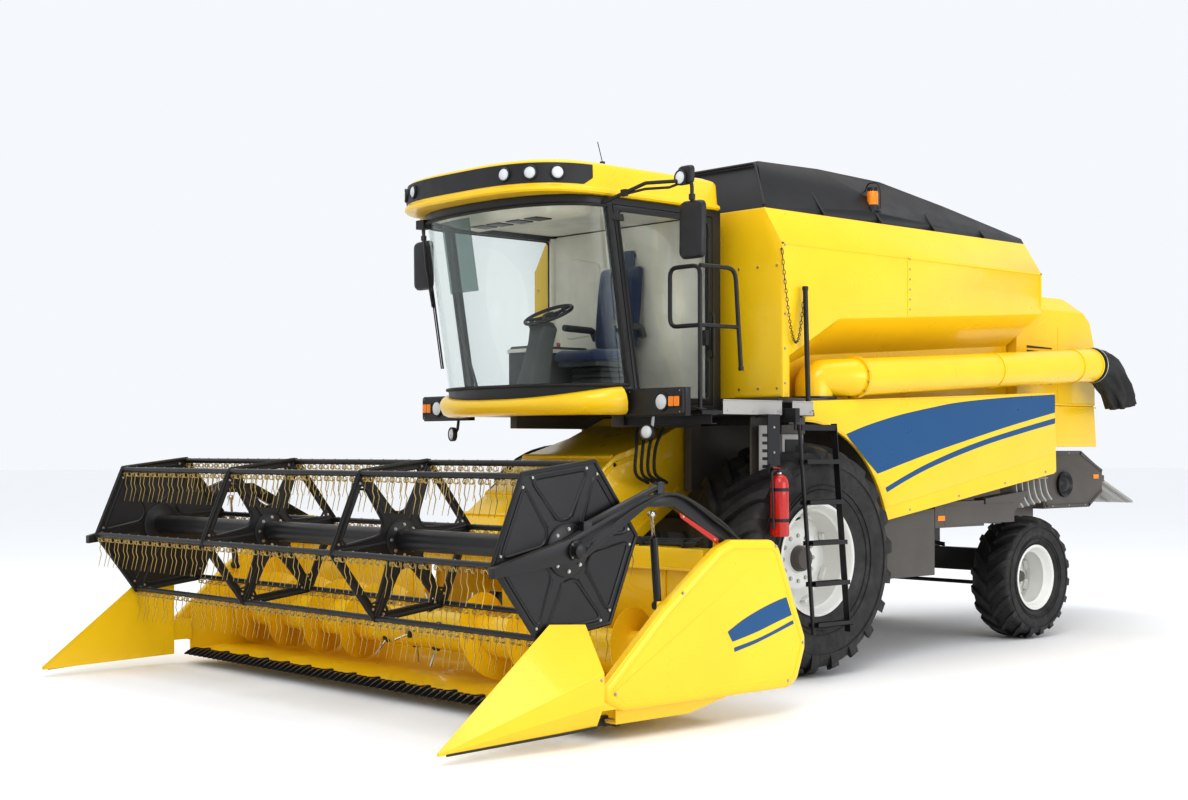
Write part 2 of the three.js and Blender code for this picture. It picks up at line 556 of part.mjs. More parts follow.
function cabControls() {
  const floor = CAB.low + CAB_FLOOR + GAP;
  const mat = box(-600, 420, -1700, -1250, floor, floor + 25);
  const column = hull([[-110, -1700, floor], [110, -1700, floor], [-110, -1480, floor], [110, -1480, floor],
    [-60, -1480, 2800], [60, -1480, 2800], [-60, -1400, 2780], [60, -1400, 2780]]);
  const wheelRing = new THREE.TorusGeometry(200, 16, 8, 20).rotateX(THREE.MathUtils.degToRad(-25));
  const wheel = solid(wheelRing.translate(0, -1400, 2860));
  const spoke = box(-195, 195, -1430, -1370, 2845, 2870);
  const hub = rod([0, -1440, 2760], [0, -1400, 2870], 45, 12);
  const console = join(box(-560, -300, -1300, -700, 2560, 2680), box(-540, -320, -1280, -800, floor, 2570));
  const lever = rod([-420, -1180, 2670], [-420, -1220, 2830], 28, 10);
  return join(mat, column, hub, spoke, wheel, console, lever);
}
place('cab_controls', cabControls(), cabGrey);

function mirror() {
  const z = 3740;
  const x = CAB.half + 635;
  const arm = bentBar([[CAB.half - 30, -1720, CAB.high - 60], [CAB.half + 315, -1580, z], [x, -1420, z]], 16);
  const bracket = rod([x, -1420, z + 10], [x, -1420, 3560], 16);
  const head = box(x - 115, x + 125, -1460, -1400, 3170, 3600);
  return join(arm, bracket, head);
}
for (const [name, sign] of SIDES) {
  place(`mirror_${name}`, onSide(cut(mirror(), cabLoft(-GAP, 2000, 4500)), sign), black);
}

// ---- platform, rails and ladder ----------------------------------------------------------
function operatorPlatform() {
  const { inner, outer, front, rear, low, high } = PLATFORM;
  const deck = box(inner, outer, front, rear, low, high);
  const brackets = [-1200, -340].map((y) => box(BODY_HALF + GAP, outer, y, y + 60, 1970, low + 10));
  const railX = outer - 40;
  const railY = front + 20;
  const railInner = inner + 250;
  const top = 3140;
  const middle = 2700;
  const frontRail = bentBar([[railX, railY, high - 20], [railX, railY, top], [railInner, railY, top],
    [railInner, railY, middle], [railX, railY, middle]], 17);
  const sideRail = bentBar([[railX, railY, top], [railX + 10, -910, top], [railX + 20, -860, 2390]], 17);
  const sideMiddle = bentBar([[railX, railY, middle], [railX + 14, -875, middle]], 17);
  const post = bentBar([[railX, -60, high - 20], [railX - 30, -60, 3050]], 20);
  const hinge = box(outer - 20, LADDER.hingeX + 25, LADDER.hingeY - 25, LADDER.hingeY + 25, LADDER.hingeZ, low + 20);
  const plateX = 1695;
  const bracket = join(box(outer - 20, plateX + 12, -700, -560, 2020, 2050),
    box(plateX, plateX + 12, -700, -560, 1660, 2050), box(plateX, 1715, -690, -600, 1610, 1680));
  return join(deck, ...brackets, frontRail, sideRail, sideMiddle, post, hinge, bracket);
}
place('operator_platform', operatorPlatform(), black);

function ladderSlope(z) {
  const { topX, bottomX, topZ, bottomZ } = LADDER;
  return topX + ((topZ - z) * (bottomX - topX)) / (topZ - bottomZ);
}

function ladder() {
  const { topX, bottomX, topZ, bottomZ, frontY, rearY, stile, steps, hingeX, hingeY, hingeZ } = LADDER;
  const knuckleTop = hingeZ - GAP;
  const hinge = join(rod([hingeX, hingeY, knuckleTop - 60], [hingeX, hingeY, knuckleTop], 20, 12),
    box(topX - stile, topX, hingeY, frontY, knuckleTop - 50, knuckleTop - 10));
  const side = (y) => hull([[topX, topZ], [bottomX, bottomZ]].flatMap(([x, z]) => [-stile, stile].flatMap(
    (dx) => [[x + dx, y - 12, z], [x + dx, y + 12, z]])));
  const treads = Array.from({ length: steps }, (_, i) => {
    const z = bottomZ + 60 + i * 310;
    const x = ladderSlope(z);
    return box(x - 45, x + 55, frontY, rearY, z, z + 35);
  });
  const head = box(topX - stile, topX + stile, frontY, rearY, topZ - 60, topZ - 10);
  return join(side(frontY), side(rearY), head, hinge, ...treads);
}
place('ladder', ladder(), black);

function extinguisher() {
  const [x, y] = [1775, -650];
  const bottle = rod([x, y, 1130], [x, y, 1600], 72, 16);
  const head = rod([x, y, 1590], [x, y, 1650], 30, 12);
  return join(bottle, head, box(1715 + GAP, x, y - 20, y + 20, 1610, 1650));
}
place('fire_extinguisher', extinguisher(), red);

// ---- feeder house and header -------------------------------------------------------------
function feederHouse() {
  const { half, pivotY, pivotZ, radius, front } = FEEDER;
  const back = arcPoints([pivotY, pivotZ], radius, 90, -90, 8);
  const outline = [[front + GAP, 330], [front + GAP, 1060], [-1180, 1740], [-700, 1880], ...back];
  const mouth = box(-half + 65, half - 65, front - 10, front + 500, 400, 930);
  return cut(slabX(outline, -half, half), mouth);
}
place('feeder_house', feederHouse(), yellow);

const troughRadius = AUGER.radius + TROUGH_PLAY;
const troughLow = AUGER.z - troughRadius;
const backY = AUGER.y + troughRadius;

function headerFrame() {
  const inside = [...arcPoints([AUGER.y, AUGER.z], troughRadius, -90, 0, 8), [backY, BACK_TOP + 10]];
  const outside = [[backY + SHEET, BACK_TOP + 10],
    ...arcPoints([AUGER.y, AUGER.z], troughRadius + SHEET, 0, -90, 8)];
  const bed = KNIFE.low - GAP;
  const lip = [[-2930, troughLow - SHEET], [KNIFE.rear + 10, bed - SHEET], [KNIFE.front, bed - SHEET],
    [KNIFE.front, bed], [KNIFE.rear + 10, bed], [-2930, troughLow]];
  const pan = slabX([...outside, ...lip, ...inside], -HEADER_HALF - SHEET, HEADER_HALF + SHEET);
  const topBeam = box(-HEADER_HALF + 70, HEADER_HALF - 70, backY, FEEDER.front, BACK_TOP, 1130);
  const lowBeam = box(-HEADER_HALF, HEADER_HALF, backY + SHEET - 4, FEEDER.front, 200, 320);
  const posts = [600, 1500, HEADER_HALF - 110].map(
    (x) => bothSides(box(x, x + 60, backY + SHEET - 4, FEEDER.front, 210, BACK_TOP + 20)));
  const skid = bothSides(box(1500, 1620, -2900, -2500, 60, troughLow - 4));
  const endSheet = slabX([[KNIFE.front, 100], [KNIFE.front, 440], [-2720, 790], [-2150, 1190], [FEEDER.front, 1190],
    [FEEDER.front, 180], [-2500, 100]], HEADER_HALF, HEADER_HALF + SHEET);
  const lugInner = ARM.inner - 55;
  const armLug = join(box(lugInner, ARM.inner - GAP, ARM.pivotY - 100, ARM.pivotY + 50, BACK_TOP + 25, ARM.pivotZ + 50),
    box(lugInner, ARM.inner - 20, FEEDER.front - 40, ARM.pivotY + 45, BACK_TOP + 15, 1110),
    rod([lugInner + 10, ARM.pivotY, ARM.pivotZ], [ARM.outer, ARM.pivotY, ARM.pivotZ], ARM_PIN, HOLE_SIDES));
  const cylinderLug = box(ARM.outer + GAP, HEADER_HALF + 4, REEL_CYLINDER.y - 40, REEL_CYLINDER.y + 40,
    REEL_CYLINDER.z - 60, REEL_CYLINDER.z + 30);
  const mouth = box(-480, 480, -2400, -2000, 340, 930);
  return cut(join(pan, topBeam, lowBeam, ...posts, skid, bothSides(join(endSheet, armLug, cylinderLug))), mouth);
}
place('header_frame', headerFrame(), yellow);

const shieldInner = HEADER_HALF + SHEET + GAP;
function headerShield() {
  return slabX([[-3120, 185], [-3290, 260], [-3300, 345], [-2780, 800], [-2290, 1150], [-2150, 1200], [-1760, 1185],
    [-1690, 1130], [-1430, 520], [-1430, 440], [-1510, 230], [-1600, 185]], shieldInner, SHIELD_OUTER);
}
function divider() {
  const { inner, outer, tip, rear } = DIVIDER;
  return hull([[inner, tip, 60], [inner + 35, tip, 60], [inner + 19, tip, 85], [inner, -3600, 745], [inner, rear, 725],
    [outer, rear, 440], [outer, rear, 250], [outer - 70, rear, 110], [inner, rear, 90]]);
}
// The divider's tail carries on past the end sheet's front edge into the shield.
function headerEnd() {
  const tail = box(DIVIDER.inner + 15, SHIELD_OUTER - 20, DIVIDER.rear - 20, KNIFE.front - 10, 200, 380);
  return join(divider(), tail, headerShield());
}
for (const [name, sign] of SIDES) place(`header_end_${name}`, onSide(headerEnd(), sign), yellow);

// One flight of the header auger, from x = start towards x = end; hand is +1 or -1.
function augerFlight(start, end, hand) {
  const steps = Math.round((AUGER.steps * Math.abs(end - start)) / AUGER.pitch);
  const positions = [];
  for (let i = 0; i <= steps; i += 1) {
    const x = start + ((end - start) * i) / steps;
    const angle = (hand * 2 * Math.PI * i) / AUGER.steps;
    for (const [r, dx] of [[AUGER.tube - 12, -4], [AUGER.radius, -4], [AUGER.radius, 4], [AUGER.tube - 12, 4]]) {
      positions.push(x + dx, r * Math.cos(angle), r * Math.sin(angle));
    }
  }
  // Both faces are split along the same diagonal, so that they stay a sheet's thickness apart.
  const index = [0, 1, 2, 0, 2, 3];
  for (let i = 0; i < steps; i += 1) {
    for (let k = 0; k < 4; k += 1) {
      const a = 4 * i + k;
      const b = 4 * i + ((k + 1) % 4);
      if (k < 2) index.push(a, a + 4, b, b, a + 4, b + 4);
      else index.push(a, a + 4, b + 4, a, b + 4, b);
    }
  }
  const last = 4 * steps;
  index.push(last, last + 2, last + 1, last, last + 3, last + 2);
  const geometry = new THREE.BufferGeometry();
  geometry.setAttribute('position', new THREE.BufferAttribute(new Float32Array(positions), 3));
  geometry.setIndex(index);
  return solid(geometry);
}

function headerAuger() {
  const tubeEnd = HEADER_HALF - GAP;
  const tube = rod([-tubeEnd + 60, 0, 0], [tubeEnd - 60, 0, 0], AUGER.tube, 16);
  const shaft = rod([-tubeEnd, 0, 0], [tubeEnd, 0, 0], 35, 12);
  const reach = HEADER_HALF - 80;
  return join(tube, shaft, augerFlight(520, reach, 1), augerFlight(-reach, -520, 1));
}
place('header_auger', headerAuger(), yellow, groupAt(0, AUGER.y, AUGER.z));

place('knife', box(-KNIFE.half, KNIFE.half, KNIFE.front, KNIFE.rear, KNIFE.low, KNIFE.low + KNIFE.thick),
  steel);

// ---- reel --------------------------------------------------------------------------------
const reelGroup = groupAt(0, REEL.y, REEL.z);
const barAngle = (i) => THREE.MathUtils.degToRad(REEL.phase + (360 / BAR_COUNT) * i);
const barPlace = (i) => [REEL.radius * Math.cos(barAngle(i)), REEL.radius * Math.sin(barAngle(i))];

function reelPlate(x0, x1, open) {
  const corner = (radius, i) => [radius * Math.cos(barAngle(i)), radius * Math.sin(barAngle(i))];
  const hexagon = Array.from({ length: BAR_COUNT }, (_, i) => corner(REEL.plate, i));
  let plate = slabX(hexagon, x0, x1);
  for (let i = 0; i < BAR_COUNT; i += 1) {
    if (open) {
      const [y, z] = barPlace(i);
      plate = cut(plate, rod([x0 - 5, y, z], [x1 + 5, y, z], REEL.bar + 4, 8));
      const [a, b] = [corner(1, i), corner(1, i + 1)];
      const mid = [(a[0] + b[0]) / 2, (a[1] + b[1]) / 2];
      const at = (along, out) => [out * mid[0] + along * (b[0] - a[0]), out * mid[1] + along * (b[1] - a[1])];
      const window = [at(0, 150), at(210, 505), at(-210, 505)];
      plate = cut(plate, slabX(window, x0 - 5, x1 + 5));
    }
  }
  return plate;
}

function reelRotor() {
  const end = REEL.half;
  const shaft = rod([-end, 0, 0], [end, 0, 0], REEL.shaft, 16);
  const stub = rod([-ARM.outer, 0, 0], [ARM.outer, 0, 0], REEL.stub, HOLE_SIDES);
  const ends = bothSides(join(reelPlate(end - 10, end, false), shaft));
  const spiders = REEL_SPIDERS.map((x) => reelPlate(x - 8, x + 8, true));
  return join(shaft, stub, ends, ...spiders);
}
place('reel_rotor', reelRotor(), black, reelGroup);
for (let i = 0; i < BAR_COUNT; i += 1) {
  const [y, z] = barPlace(i);
  const reach = REEL.half - 10 - GAP;
  const bar = rod([-reach, 0, 0], [reach, 0, 0], REEL.bar, 8);
  place(`tine_bar_${i + 1}`, bar, black, groupAt(0, y, z, reelGroup));
}

function reelArm() {
  const outline = [[-1960, 1140], [-1980, 1200], [-2560, 1500], [-2860, 1500], [REEL.y - 40, 1250], [-4070, 1100],
    [-4070, 1040], [REEL.y - 60, 1105], [REEL.y + 60, 1115], [-2840, 1425], [-2600, 1425], [-2030, 1115]];
  const beam = slabX(outline, ARM.inner, ARM.outer);
  const hole = (y, z, shaft) => rod([ARM.inner - 45, y, z], [ARM.outer + 100, y, z], boreFor(shaft), HOLE_SIDES);
  const holes = [hole(REEL.y, REEL.z, REEL.stub), hole(ARM.pivotY, ARM.pivotZ, ARM_PIN)];
  const x = ARM.inner + 30;
  const slider = bentBar([[x, -3330, 1330], [x, -2700, 1560]], 22);
  const feet = [box(x - 20, x + 20, -3370, -3300, 1180, 1350), box(x - 20, x + 20, -2740, -2680, 1480, 1580)];
  return cut(join(beam, slider, ...feet), ...holes);
}
for (const [name, sign] of SIDES) place(`reel_arm_${name}`, onSide(reelArm(), sign), black);

// ---- hydraulic cylinders -----------------------------------------------------------------
// Both parts run along local +z from the lower pin; the group turns them towards the upper pin.
const eyeHalf = (ARM.outer - ARM.inner) / 2;
function barrelBody(length, outer, bore) {
  const eye = rod([-eyeHalf, 0, 0], [eyeHalf, 0, 0], outer + 4, 12);
  const tube = cut(rod([0, 0, 0], [0, 0, length], outer, 12), rod([0, 0, outer + 40], [0, 0, length + 20], bore, 12));
  return join(eye, tube);
}
function rodBody(from, to, radius) {
  return join(rod([0, 0, from], [0, 0, to], radius, 12), rod([-20, 0, to], [20, 0, to], radius + 8, 12));
}
function cylinderGroup(x, spec) {
  const group = groupAt(x, spec.y, spec.z);
  const lean = Math.atan2(-(spec.topY - spec.y), spec.topZ - spec.z);
  group.rotation.x = lean;
  return group;
}
const pinDistance = (spec) => Math.hypot(spec.topY - spec.y, spec.topZ - spec.z);

for (const [name, sign] of SIDES) {
  const group = cylinderGroup((sign * (ARM.inner + ARM.outer)) / 2, REEL_CYLINDER);
  const length = pinDistance(REEL_CYLINDER);
  const { barrel, rod: rodRadius, length: barrelLength, inside } = REEL_CYLINDER;
  place(`reel_cylinder_${name}`, barrelBody(barrelLength, barrel, rodRadius + RUN), black, group);
  place(`reel_piston_${name}`, rodBody(length - inside, length, rodRadius), steel, group);
}

function liftBarrels() {
  const { x, barrel, rod: rodRadius, cross, length } = LIFT_CYLINDER;
  const one = moved(barrelBody(length, barrel, rodRadius + RUN), new THREE.Matrix4().makeTranslation(x, 0, 0));
  return join(bothSides(one), rod([-x, 0, 0], [x, 0, 0], cross, HOLE_SIDES));
}
function liftRods() {
  const { x, rod: rodRadius, cross, inside } = LIFT_CYLINDER;
  const length = pinDistance(LIFT_CYLINDER);
  const one = moved(rodBody(length - inside, length, rodRadius), new THREE.Matrix4().makeTranslation(x, 0, 0));
  return join(bothSides(one), rod([-x, 0, length], [x, 0, length], cross, HOLE_SIDES));
}
const liftGroup = cylinderGroup(0, LIFT_CYLINDER);
place('lift_cylinders', liftBarrels(), black, liftGroup);
place('lift_pistons', liftRods(), steel, liftGroup);

// ---- the whole, centred on its own length --------------------------------------------------
combine.updateMatrixWorld(true);
const extent = new THREE.Box3().setFromObject(combine);
combine.position.y = -(extent.min.y + extent.max.y) / 2;
const model = new THREE.Group();
model.add(combine);

export default model;
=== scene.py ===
"""Looks of the combine harvester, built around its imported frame.

Places are given in the machine's own axes, in metres: x to its left, y to the rear with the front
axle at y = 0, and z up from the ground.  Shape.done() moves each piece to the frame's origin.
"""

import math

import bmesh
import bpy
from mathutils import Matrix, Vector


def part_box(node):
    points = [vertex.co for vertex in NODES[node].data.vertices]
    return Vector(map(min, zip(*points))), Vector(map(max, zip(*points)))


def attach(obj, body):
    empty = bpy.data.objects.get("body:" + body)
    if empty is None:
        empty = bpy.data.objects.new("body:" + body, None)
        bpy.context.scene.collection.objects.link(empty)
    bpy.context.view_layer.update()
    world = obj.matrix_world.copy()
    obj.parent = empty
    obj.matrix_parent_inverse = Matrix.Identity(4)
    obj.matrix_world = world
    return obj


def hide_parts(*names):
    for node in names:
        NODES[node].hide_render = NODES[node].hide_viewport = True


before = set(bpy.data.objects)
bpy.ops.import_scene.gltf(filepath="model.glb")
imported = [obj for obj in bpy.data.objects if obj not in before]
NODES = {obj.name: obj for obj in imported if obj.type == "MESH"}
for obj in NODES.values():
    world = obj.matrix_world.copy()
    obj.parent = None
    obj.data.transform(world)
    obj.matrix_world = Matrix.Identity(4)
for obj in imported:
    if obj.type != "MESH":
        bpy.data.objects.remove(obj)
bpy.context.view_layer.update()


def box_middle(node):
    low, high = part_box(node)
    return (low + high) / 2


AXLE_Y = box_middle("front_tyre_left").y
SIDES = (("left", 1), ("right", -1))


def turns(count, start=0.0):
    """Angles spread evenly round a circle, the first being start steps from nought."""
    return [2 * math.pi * (k + start) / count for k in range(count)]


def span(sign, inner, outer):
    """The ends of a range of x on one side of the machine, lower first."""
    return sorted((sign * inner, sign * outer))


def on_side(sign, points):
    return [(sign * x, y, z) for x, y, z in points]


def at_x(x, outline):
    return [(x, y, z) for y, z in outline]


def at_y(y, outline, sign=1):
    return [(sign * x, y, z) for x, z in outline]


def at_z(z, outline):
    return [(x, y, z) for x, y in outline]


# ---- camera, light and floor -------------------------------------------------------------
CAMERA_PLACE = (10.173, AXLE_Y - 10.219, 1.794)
CAMERA_YAW = 47.539
CAMERA_PITCH = 0.471
CAMERA_ROLL = -0.104
CAMERA_LENS = 51.136
CAMERA_SHIFT = 0.029
VIEW_GAMMA = 0.84
WORLD_STRENGTH = 0.98


def add_camera():
    yaw, pitch, roll = (math.radians(a) for a in (CAMERA_YAW, CAMERA_PITCH, CAMERA_ROLL))
    ahead = Vector((-math.sin(yaw) * math.cos(pitch), math.cos(yaw) * math.cos(pitch), math.sin(pitch)))
    level = Vector((math.cos(yaw), math.sin(yaw), 0))
    over = level.cross(ahead)
    right = level * math.cos(roll) + over * math.sin(roll)
    up = over * math.cos(roll) - level * math.sin(roll)
    data = bpy.data.cameras.new("photo_camera")
    data.lens = CAMERA_LENS
    data.sensor_width = 36
    data.shift_y = CAMERA_SHIFT
    data.clip_end = 400
    camera = bpy.data.objects.new("photo_camera", data)
    bpy.context.scene.collection.objects.link(camera)
    turn = Matrix((right, up, -ahead)).transposed().to_4x4()
    camera.matrix_world = Matrix.Translation(CAMERA_PLACE) @ turn
    bpy.context.scene.camera = camera


def add_area_light(name, place, aim, size, power, color=(1, 1, 1)):
    data = bpy.data.lights.new(name, "AREA")
    data.shape = "RECTANGLE"
    data.size, data.size_y = size
    data.energy = power
    data.color = color
    light = bpy.data.objects.new(name, data)
    bpy.context.scene.collection.objects.link(light)
    place = Vector(place)
    light.location = place
    light.rotation_euler = (Vector(aim) - place).to_track_quat("-Z", "Y").to_euler()


def add_studio():
    bpy.context.scene.view_settings.view_transform = "Standard"
    bpy.context.scene.view_settings.gamma = VIEW_GAMMA
    world = bpy.data.worlds.new("studio")
    bpy.context.scene.world = world
    world.use_nodes = True
    background = world.node_tree.nodes["Background"]
    background.inputs["Color"].default_value = (0.95, 0.97, 1.0, 1)
    background.inputs["Strength"].default_value = WORLD_STRENGTH
    add_area_light("key", (9, -9, 12), (0, -1, 1.5), (7, 7), 620, (1.0, 0.98, 0.96))
    add_area_light("top", (0, 0, 14), (0, 0, 1), (14, 9), 560)
    add_area_light("left_fill", (14, 1, 4), (0, 0, 1.6), (9, 5), 430, (0.96, 0.98, 1.0))
    bpy.ops.mesh.primitive_circle_add(vertices=96, radius=140, fill_type="NGON")
    floor = bpy.context.object
    floor.name = "studio_floor"
    floor.data.materials.append(plain("studio_floor", (0.965, 0.968, 0.972), 0.9))


# ---- materials ---------------------------------------------------------------------------
def node_of(material, kind, **values):
    node = material.node_tree.nodes.new(kind)
    for name, value in values.items():
        setattr(node, name, value)
    return node


def plain(name, color, roughness, metallic=0.0):
    material = bpy.data.materials.new(name)
    material.use_nodes = True
    shader = material.node_tree.nodes["Principled BSDF"]
    shader.inputs["Base Color"].default_value = (*color, 1)
    shader.inputs["Roughness"].default_value = roughness
    shader.inputs["Metallic"].default_value = metallic
    material.diffuse_color = (*color, 1)
    return material


def feed(material, name, source):
    """Links a socket to one of the material's shader inputs."""
    shader = material.node_tree.nodes["Principled BSDF"]
    material.node_tree.links.new(source, shader.inputs[name])


def noise(material, scale, detail=3.0, roughness=0.55):
    """A noise texture in the object's own coordinates."""
    where = node_of(material, "ShaderNodeTexCoord")
    texture = node_of(material, "ShaderNodeTexNoise")
    texture.inputs["Scale"].default_value = scale
    texture.inputs["Detail"].default_value = detail
    texture.inputs["Roughness"].default_value = roughness
    material.node_tree.links.new(where.outputs["Object"], texture.inputs["Vector"])
    return texture.outputs["Fac"]


def ramp(material, source, low, high, first, last):
    """source from low to high, turned into colours or greys from first to last."""
    node = node_of(material, "ShaderNodeValToRGB")
    node.color_ramp.elements[0].position = low
    node.color_ramp.elements[1].position = high
    grey = isinstance(first, (int, float))
    node.color_ramp.elements[0].color = (first, first, first, 1) if grey else (*first, 1)
    node.color_ramp.elements[1].color = (last, last, last, 1) if grey else (*last, 1)
    material.node_tree.links.new(source, node.inputs["Fac"])
    return node.outputs["Color"]


def bump(material, height, strength, distance, under=None):
    node = node_of(material, "ShaderNodeBump")
    node.inputs["Strength"].default_value = strength
    node.inputs["Distance"].default_value = distance
    material.node_tree.links.new(height, node.inputs["Height"])
    if under is not None:
        material.node_tree.links.new(under, node.inputs["Normal"])
    return node.outputs["Normal"]


def mix(material, amount, first, last):
    """first where amount is 0 and last where it is 1; a colour is given as three numbers or a socket."""
    node = node_of(material, "ShaderNodeMix", data_type="RGBA")
    links = material.node_tree.links
    links.new(amount, node.inputs["Factor"])
    for key, value in (("A", first), ("B", last)):
        socket = next(s for s in node.inputs if s.name == key and s.type == "RGBA")
        if isinstance(value, (tuple, list)):
            socket.default_value = (*value, 1)
        else:
            links.new(value, socket)
    return next(s for s in node.outputs if s.type == "RGBA")


def enamel(name, color, roughness, coat=0.0, dusty=0.0, peel=0.12, shift=0.94):
    """Sprayed paint: faint orange peel, slow tone drift, duller patches and dust on level faces."""
    material = plain(name, color, roughness)
    links = material.node_tree.links
    shader = material.node_tree.nodes["Principled BSDF"]
    darker = tuple(c * shift for c in color)
    tone = ramp(material, noise(material, 1.7, 2), 0.3, 0.7, darker, color)
    if dusty:
        normal = node_of(material, "ShaderNodeNewGeometry")
        parts = node_of(material, "ShaderNodeSeparateXYZ")
        links.new(normal.outputs["Normal"], parts.inputs["Vector"])
        level = ramp(material, parts.outputs["Z"], 0.55, 1.0, 0.0, dusty)
        patch = node_of(material, "ShaderNodeMath", operation="MULTIPLY")
        links.new(level, patch.inputs[0])
        links.new(noise(material, 9, 5), patch.inputs[1])
        tone = mix(material, patch.outputs["Value"], tone, (0.42, 0.38, 0.31))
    feed(material, "Base Color", tone)
    rough = ramp(material, noise(material, 5, 4), 0.25, 0.75, roughness * 0.85, min(1.0, roughness * 1.25))
    feed(material, "Roughness", rough)
    if coat:
        shader.inputs["Coat Weight"].default_value = coat
        shader.inputs["Coat Roughness"].default_value = 0.06
    feed(material, "Normal", bump(material, noise(material, 220, 2), peel, 0.0006))
    return material


def moulded(name, color, roughness, grain=420, depth=0.25):
    """Grained plastic or rubber."""
    material = plain(name, color, roughness)
    lighter = tuple(min(1.0, c * 1.25 + 0.004) for c in color)
    feed(material, "Base Color", ramp(material, noise(material, 3, 4), 0.3, 0.75, color, lighter))
    rough = ramp(material, noise(material, 11, 4), 0.3, 0.7, roughness * 0.85, min(1, roughness * 1.15))
    feed(material, "Roughness", rough)
    feed(material, "Normal", bump(material, noise(material, grain, 2), depth, 0.0012))
    return material


def tyre_rubber():
    material = plain("tyre_rubber", (0.016, 0.016, 0.017), 0.6)
    worn = noise(material, 6, 6, 0.65)
    feed(material, "Base Color", ramp(material, worn, 0.35, 0.8, (0.010, 0.010, 0.011), (0.042, 0.040, 0.038)))
    feed(material, "Roughness", ramp(material, noise(material, 14, 4), 0.3, 0.7, 0.42, 0.7))
    fine = bump(material, noise(material, 260, 3), 0.3, 0.0015)
    feed(material, "Normal", bump(material, noise(material, 22, 3), 0.2, 0.004, fine))
    return material


def bare_steel(name, color, roughness):
    material = plain(name, color, roughness, 1.0)
    brushed = noise(material, 60, 4)
    feed(material, "Roughness", ramp(material, brushed, 0.3, 0.7, roughness * 0.7, min(1.0, roughness * 1.4)))
    darker = tuple(c * 0.85 for c in color)
    feed(material, "Base Color", ramp(material, noise(material, 8, 3), 0.3, 0.7, darker, color))
    feed(material, "Normal", bump(material, brushed, 0.08, 0.0008))
    return material


def woven(name, color):
    """Seat cloth: a fine two-way weave with a soft sheen."""
    material = plain(name, color, 0.9)
    links = material.node_tree.links
    where = node_of(material, "ShaderNodeTexCoord")
    waves = []
    for axis in ("X", "Z"):
        wave = node_of(material, "ShaderNodeTexWave", bands_direction=axis)
        wave.inputs["Scale"].default_value = 130
        wave.inputs["Distortion"].default_value = 0.6
        links.new(where.outputs["Object"], wave.inputs["Vector"])
        waves.append(wave.outputs["Fac"])
    weave = node_of(material, "ShaderNodeMath", operation="MULTIPLY")
    links.new(waves[0], weave.inputs[0])
    links.new(waves[1], weave.inputs[1])
    lighter = tuple(c * 1.7 + 0.01 for c in color)
    feed(material, "Base Color", ramp(material, weave.outputs["Value"], 0.0, 0.8, color, lighter))
    feed(material, "Normal", bump(material, weave.outputs["Value"], 0.35, 0.0012))
    material.node_tree.nodes["Principled BSDF"].inputs["Sheen Weight"].default_value = 0.3
    return material


def pane(name, tint, slant):
    """Thin glass: mostly clear, with a faint tint and a sharp reflection that grows at a slant."""
    material = bpy.data.materials.new(name)
    material.use_nodes = True
    nodes, links = material.node_tree.nodes, material.node_tree.links
    nodes.remove(nodes["Principled BSDF"])
    through = node_of(material, "ShaderNodeBsdfTransparent")
    through.inputs["Color"].default_value = (*tint, 1)
    mirror = node_of(material, "ShaderNodeBsdfGlossy")
    mirror.inputs["Roughness"].default_value = 0.02
    film = ramp(material, noise(material, 2.5, 4), 0.4, 0.8, (0.95, 1.0, 0.98), (0.8, 0.86, 0.84))
    links.new(film, mirror.inputs["Color"])
    share = node_of(material, "ShaderNodeLayerWeight")
    share.inputs["Blend"].default_value = slant
    blend = node_of(material, "ShaderNodeMixShader")
    links.new(share.outputs["Facing"], blend.inputs["Fac"])
    links.new(through.outputs["BSDF"], blend.inputs[1])
    links.new(mirror.outputs["BSDF"], blend.inputs[2])
    links.new(blend.outputs["Shader"], nodes["Material Output"].inputs["Surface"])
    material.diffuse_color = (*tint, 0.4)
    return material


YELLOW = enamel("yellow_enamel", (0.93, 0.615, 0.010), 0.3, coat=0.35)
BLACK = enamel("black_enamel", (0.012, 0.012, 0.013), 0.36, dusty=0.25, shift=0.8)
GREY = enamel("brown_grey_enamel", (0.105, 0.094, 0.083), 0.45, dusty=0.3, shift=0.85)
WHITE = enamel("rim_enamel", (0.80, 0.80, 0.77), 0.35, dusty=0.15)
PALE = enamel("pale_grey_enamel", (0.42, 0.41, 0.39), 0.45)
RED = enamel("red_enamel", (0.50, 0.014, 0.012), 0.25, coat=0.4)
BLUE = enamel("blue_film", (0.004, 0.085, 0.23), 0.3, peel=0.03)
RUBBER = moulded("black_rubber", (0.018, 0.018, 0.018), 0.65)
PLASTIC = moulded("black_moulding", (0.016, 0.016, 0.017), 0.45)
TRIM = moulded("cab_moulding", (0.060, 0.064, 0.064), 0.6)
CREAM = moulded("cab_lining", (0.76, 0.72, 0.64), 0.75)
TYRE = tyre_rubber()
STEEL = bare_steel("bright_steel", (0.62, 0.62, 0.62), 0.22)
BRASS = bare_steel("passivated_steel", (0.62, 0.47, 0.19), 0.35)
ZINC = bare_steel("zinc_bolts", (0.55, 0.54, 0.50), 0.4)
CLOTH = woven("navy_cloth", (0.018, 0.032, 0.085))
GLASS = pane("cab_glass", (0.965, 0.98, 0.972), 0.05)
SHADE = pane("shade_glass", (0.48, 0.55, 0.53), 0.04)
MIRROR = bare_steel("mirror_silver", (0.85, 0.87, 0.88), 0.03)
AMBER = moulded("amber_lens", (0.90, 0.26, 0.01), 0.2, grain=90)
LENS = moulded("clear_lens", (0.62, 0.64, 0.66), 0.12, grain=60)
RED_LENS = moulded("red_lens", (0.50, 0.01, 0.01), 0.2, grain=90)


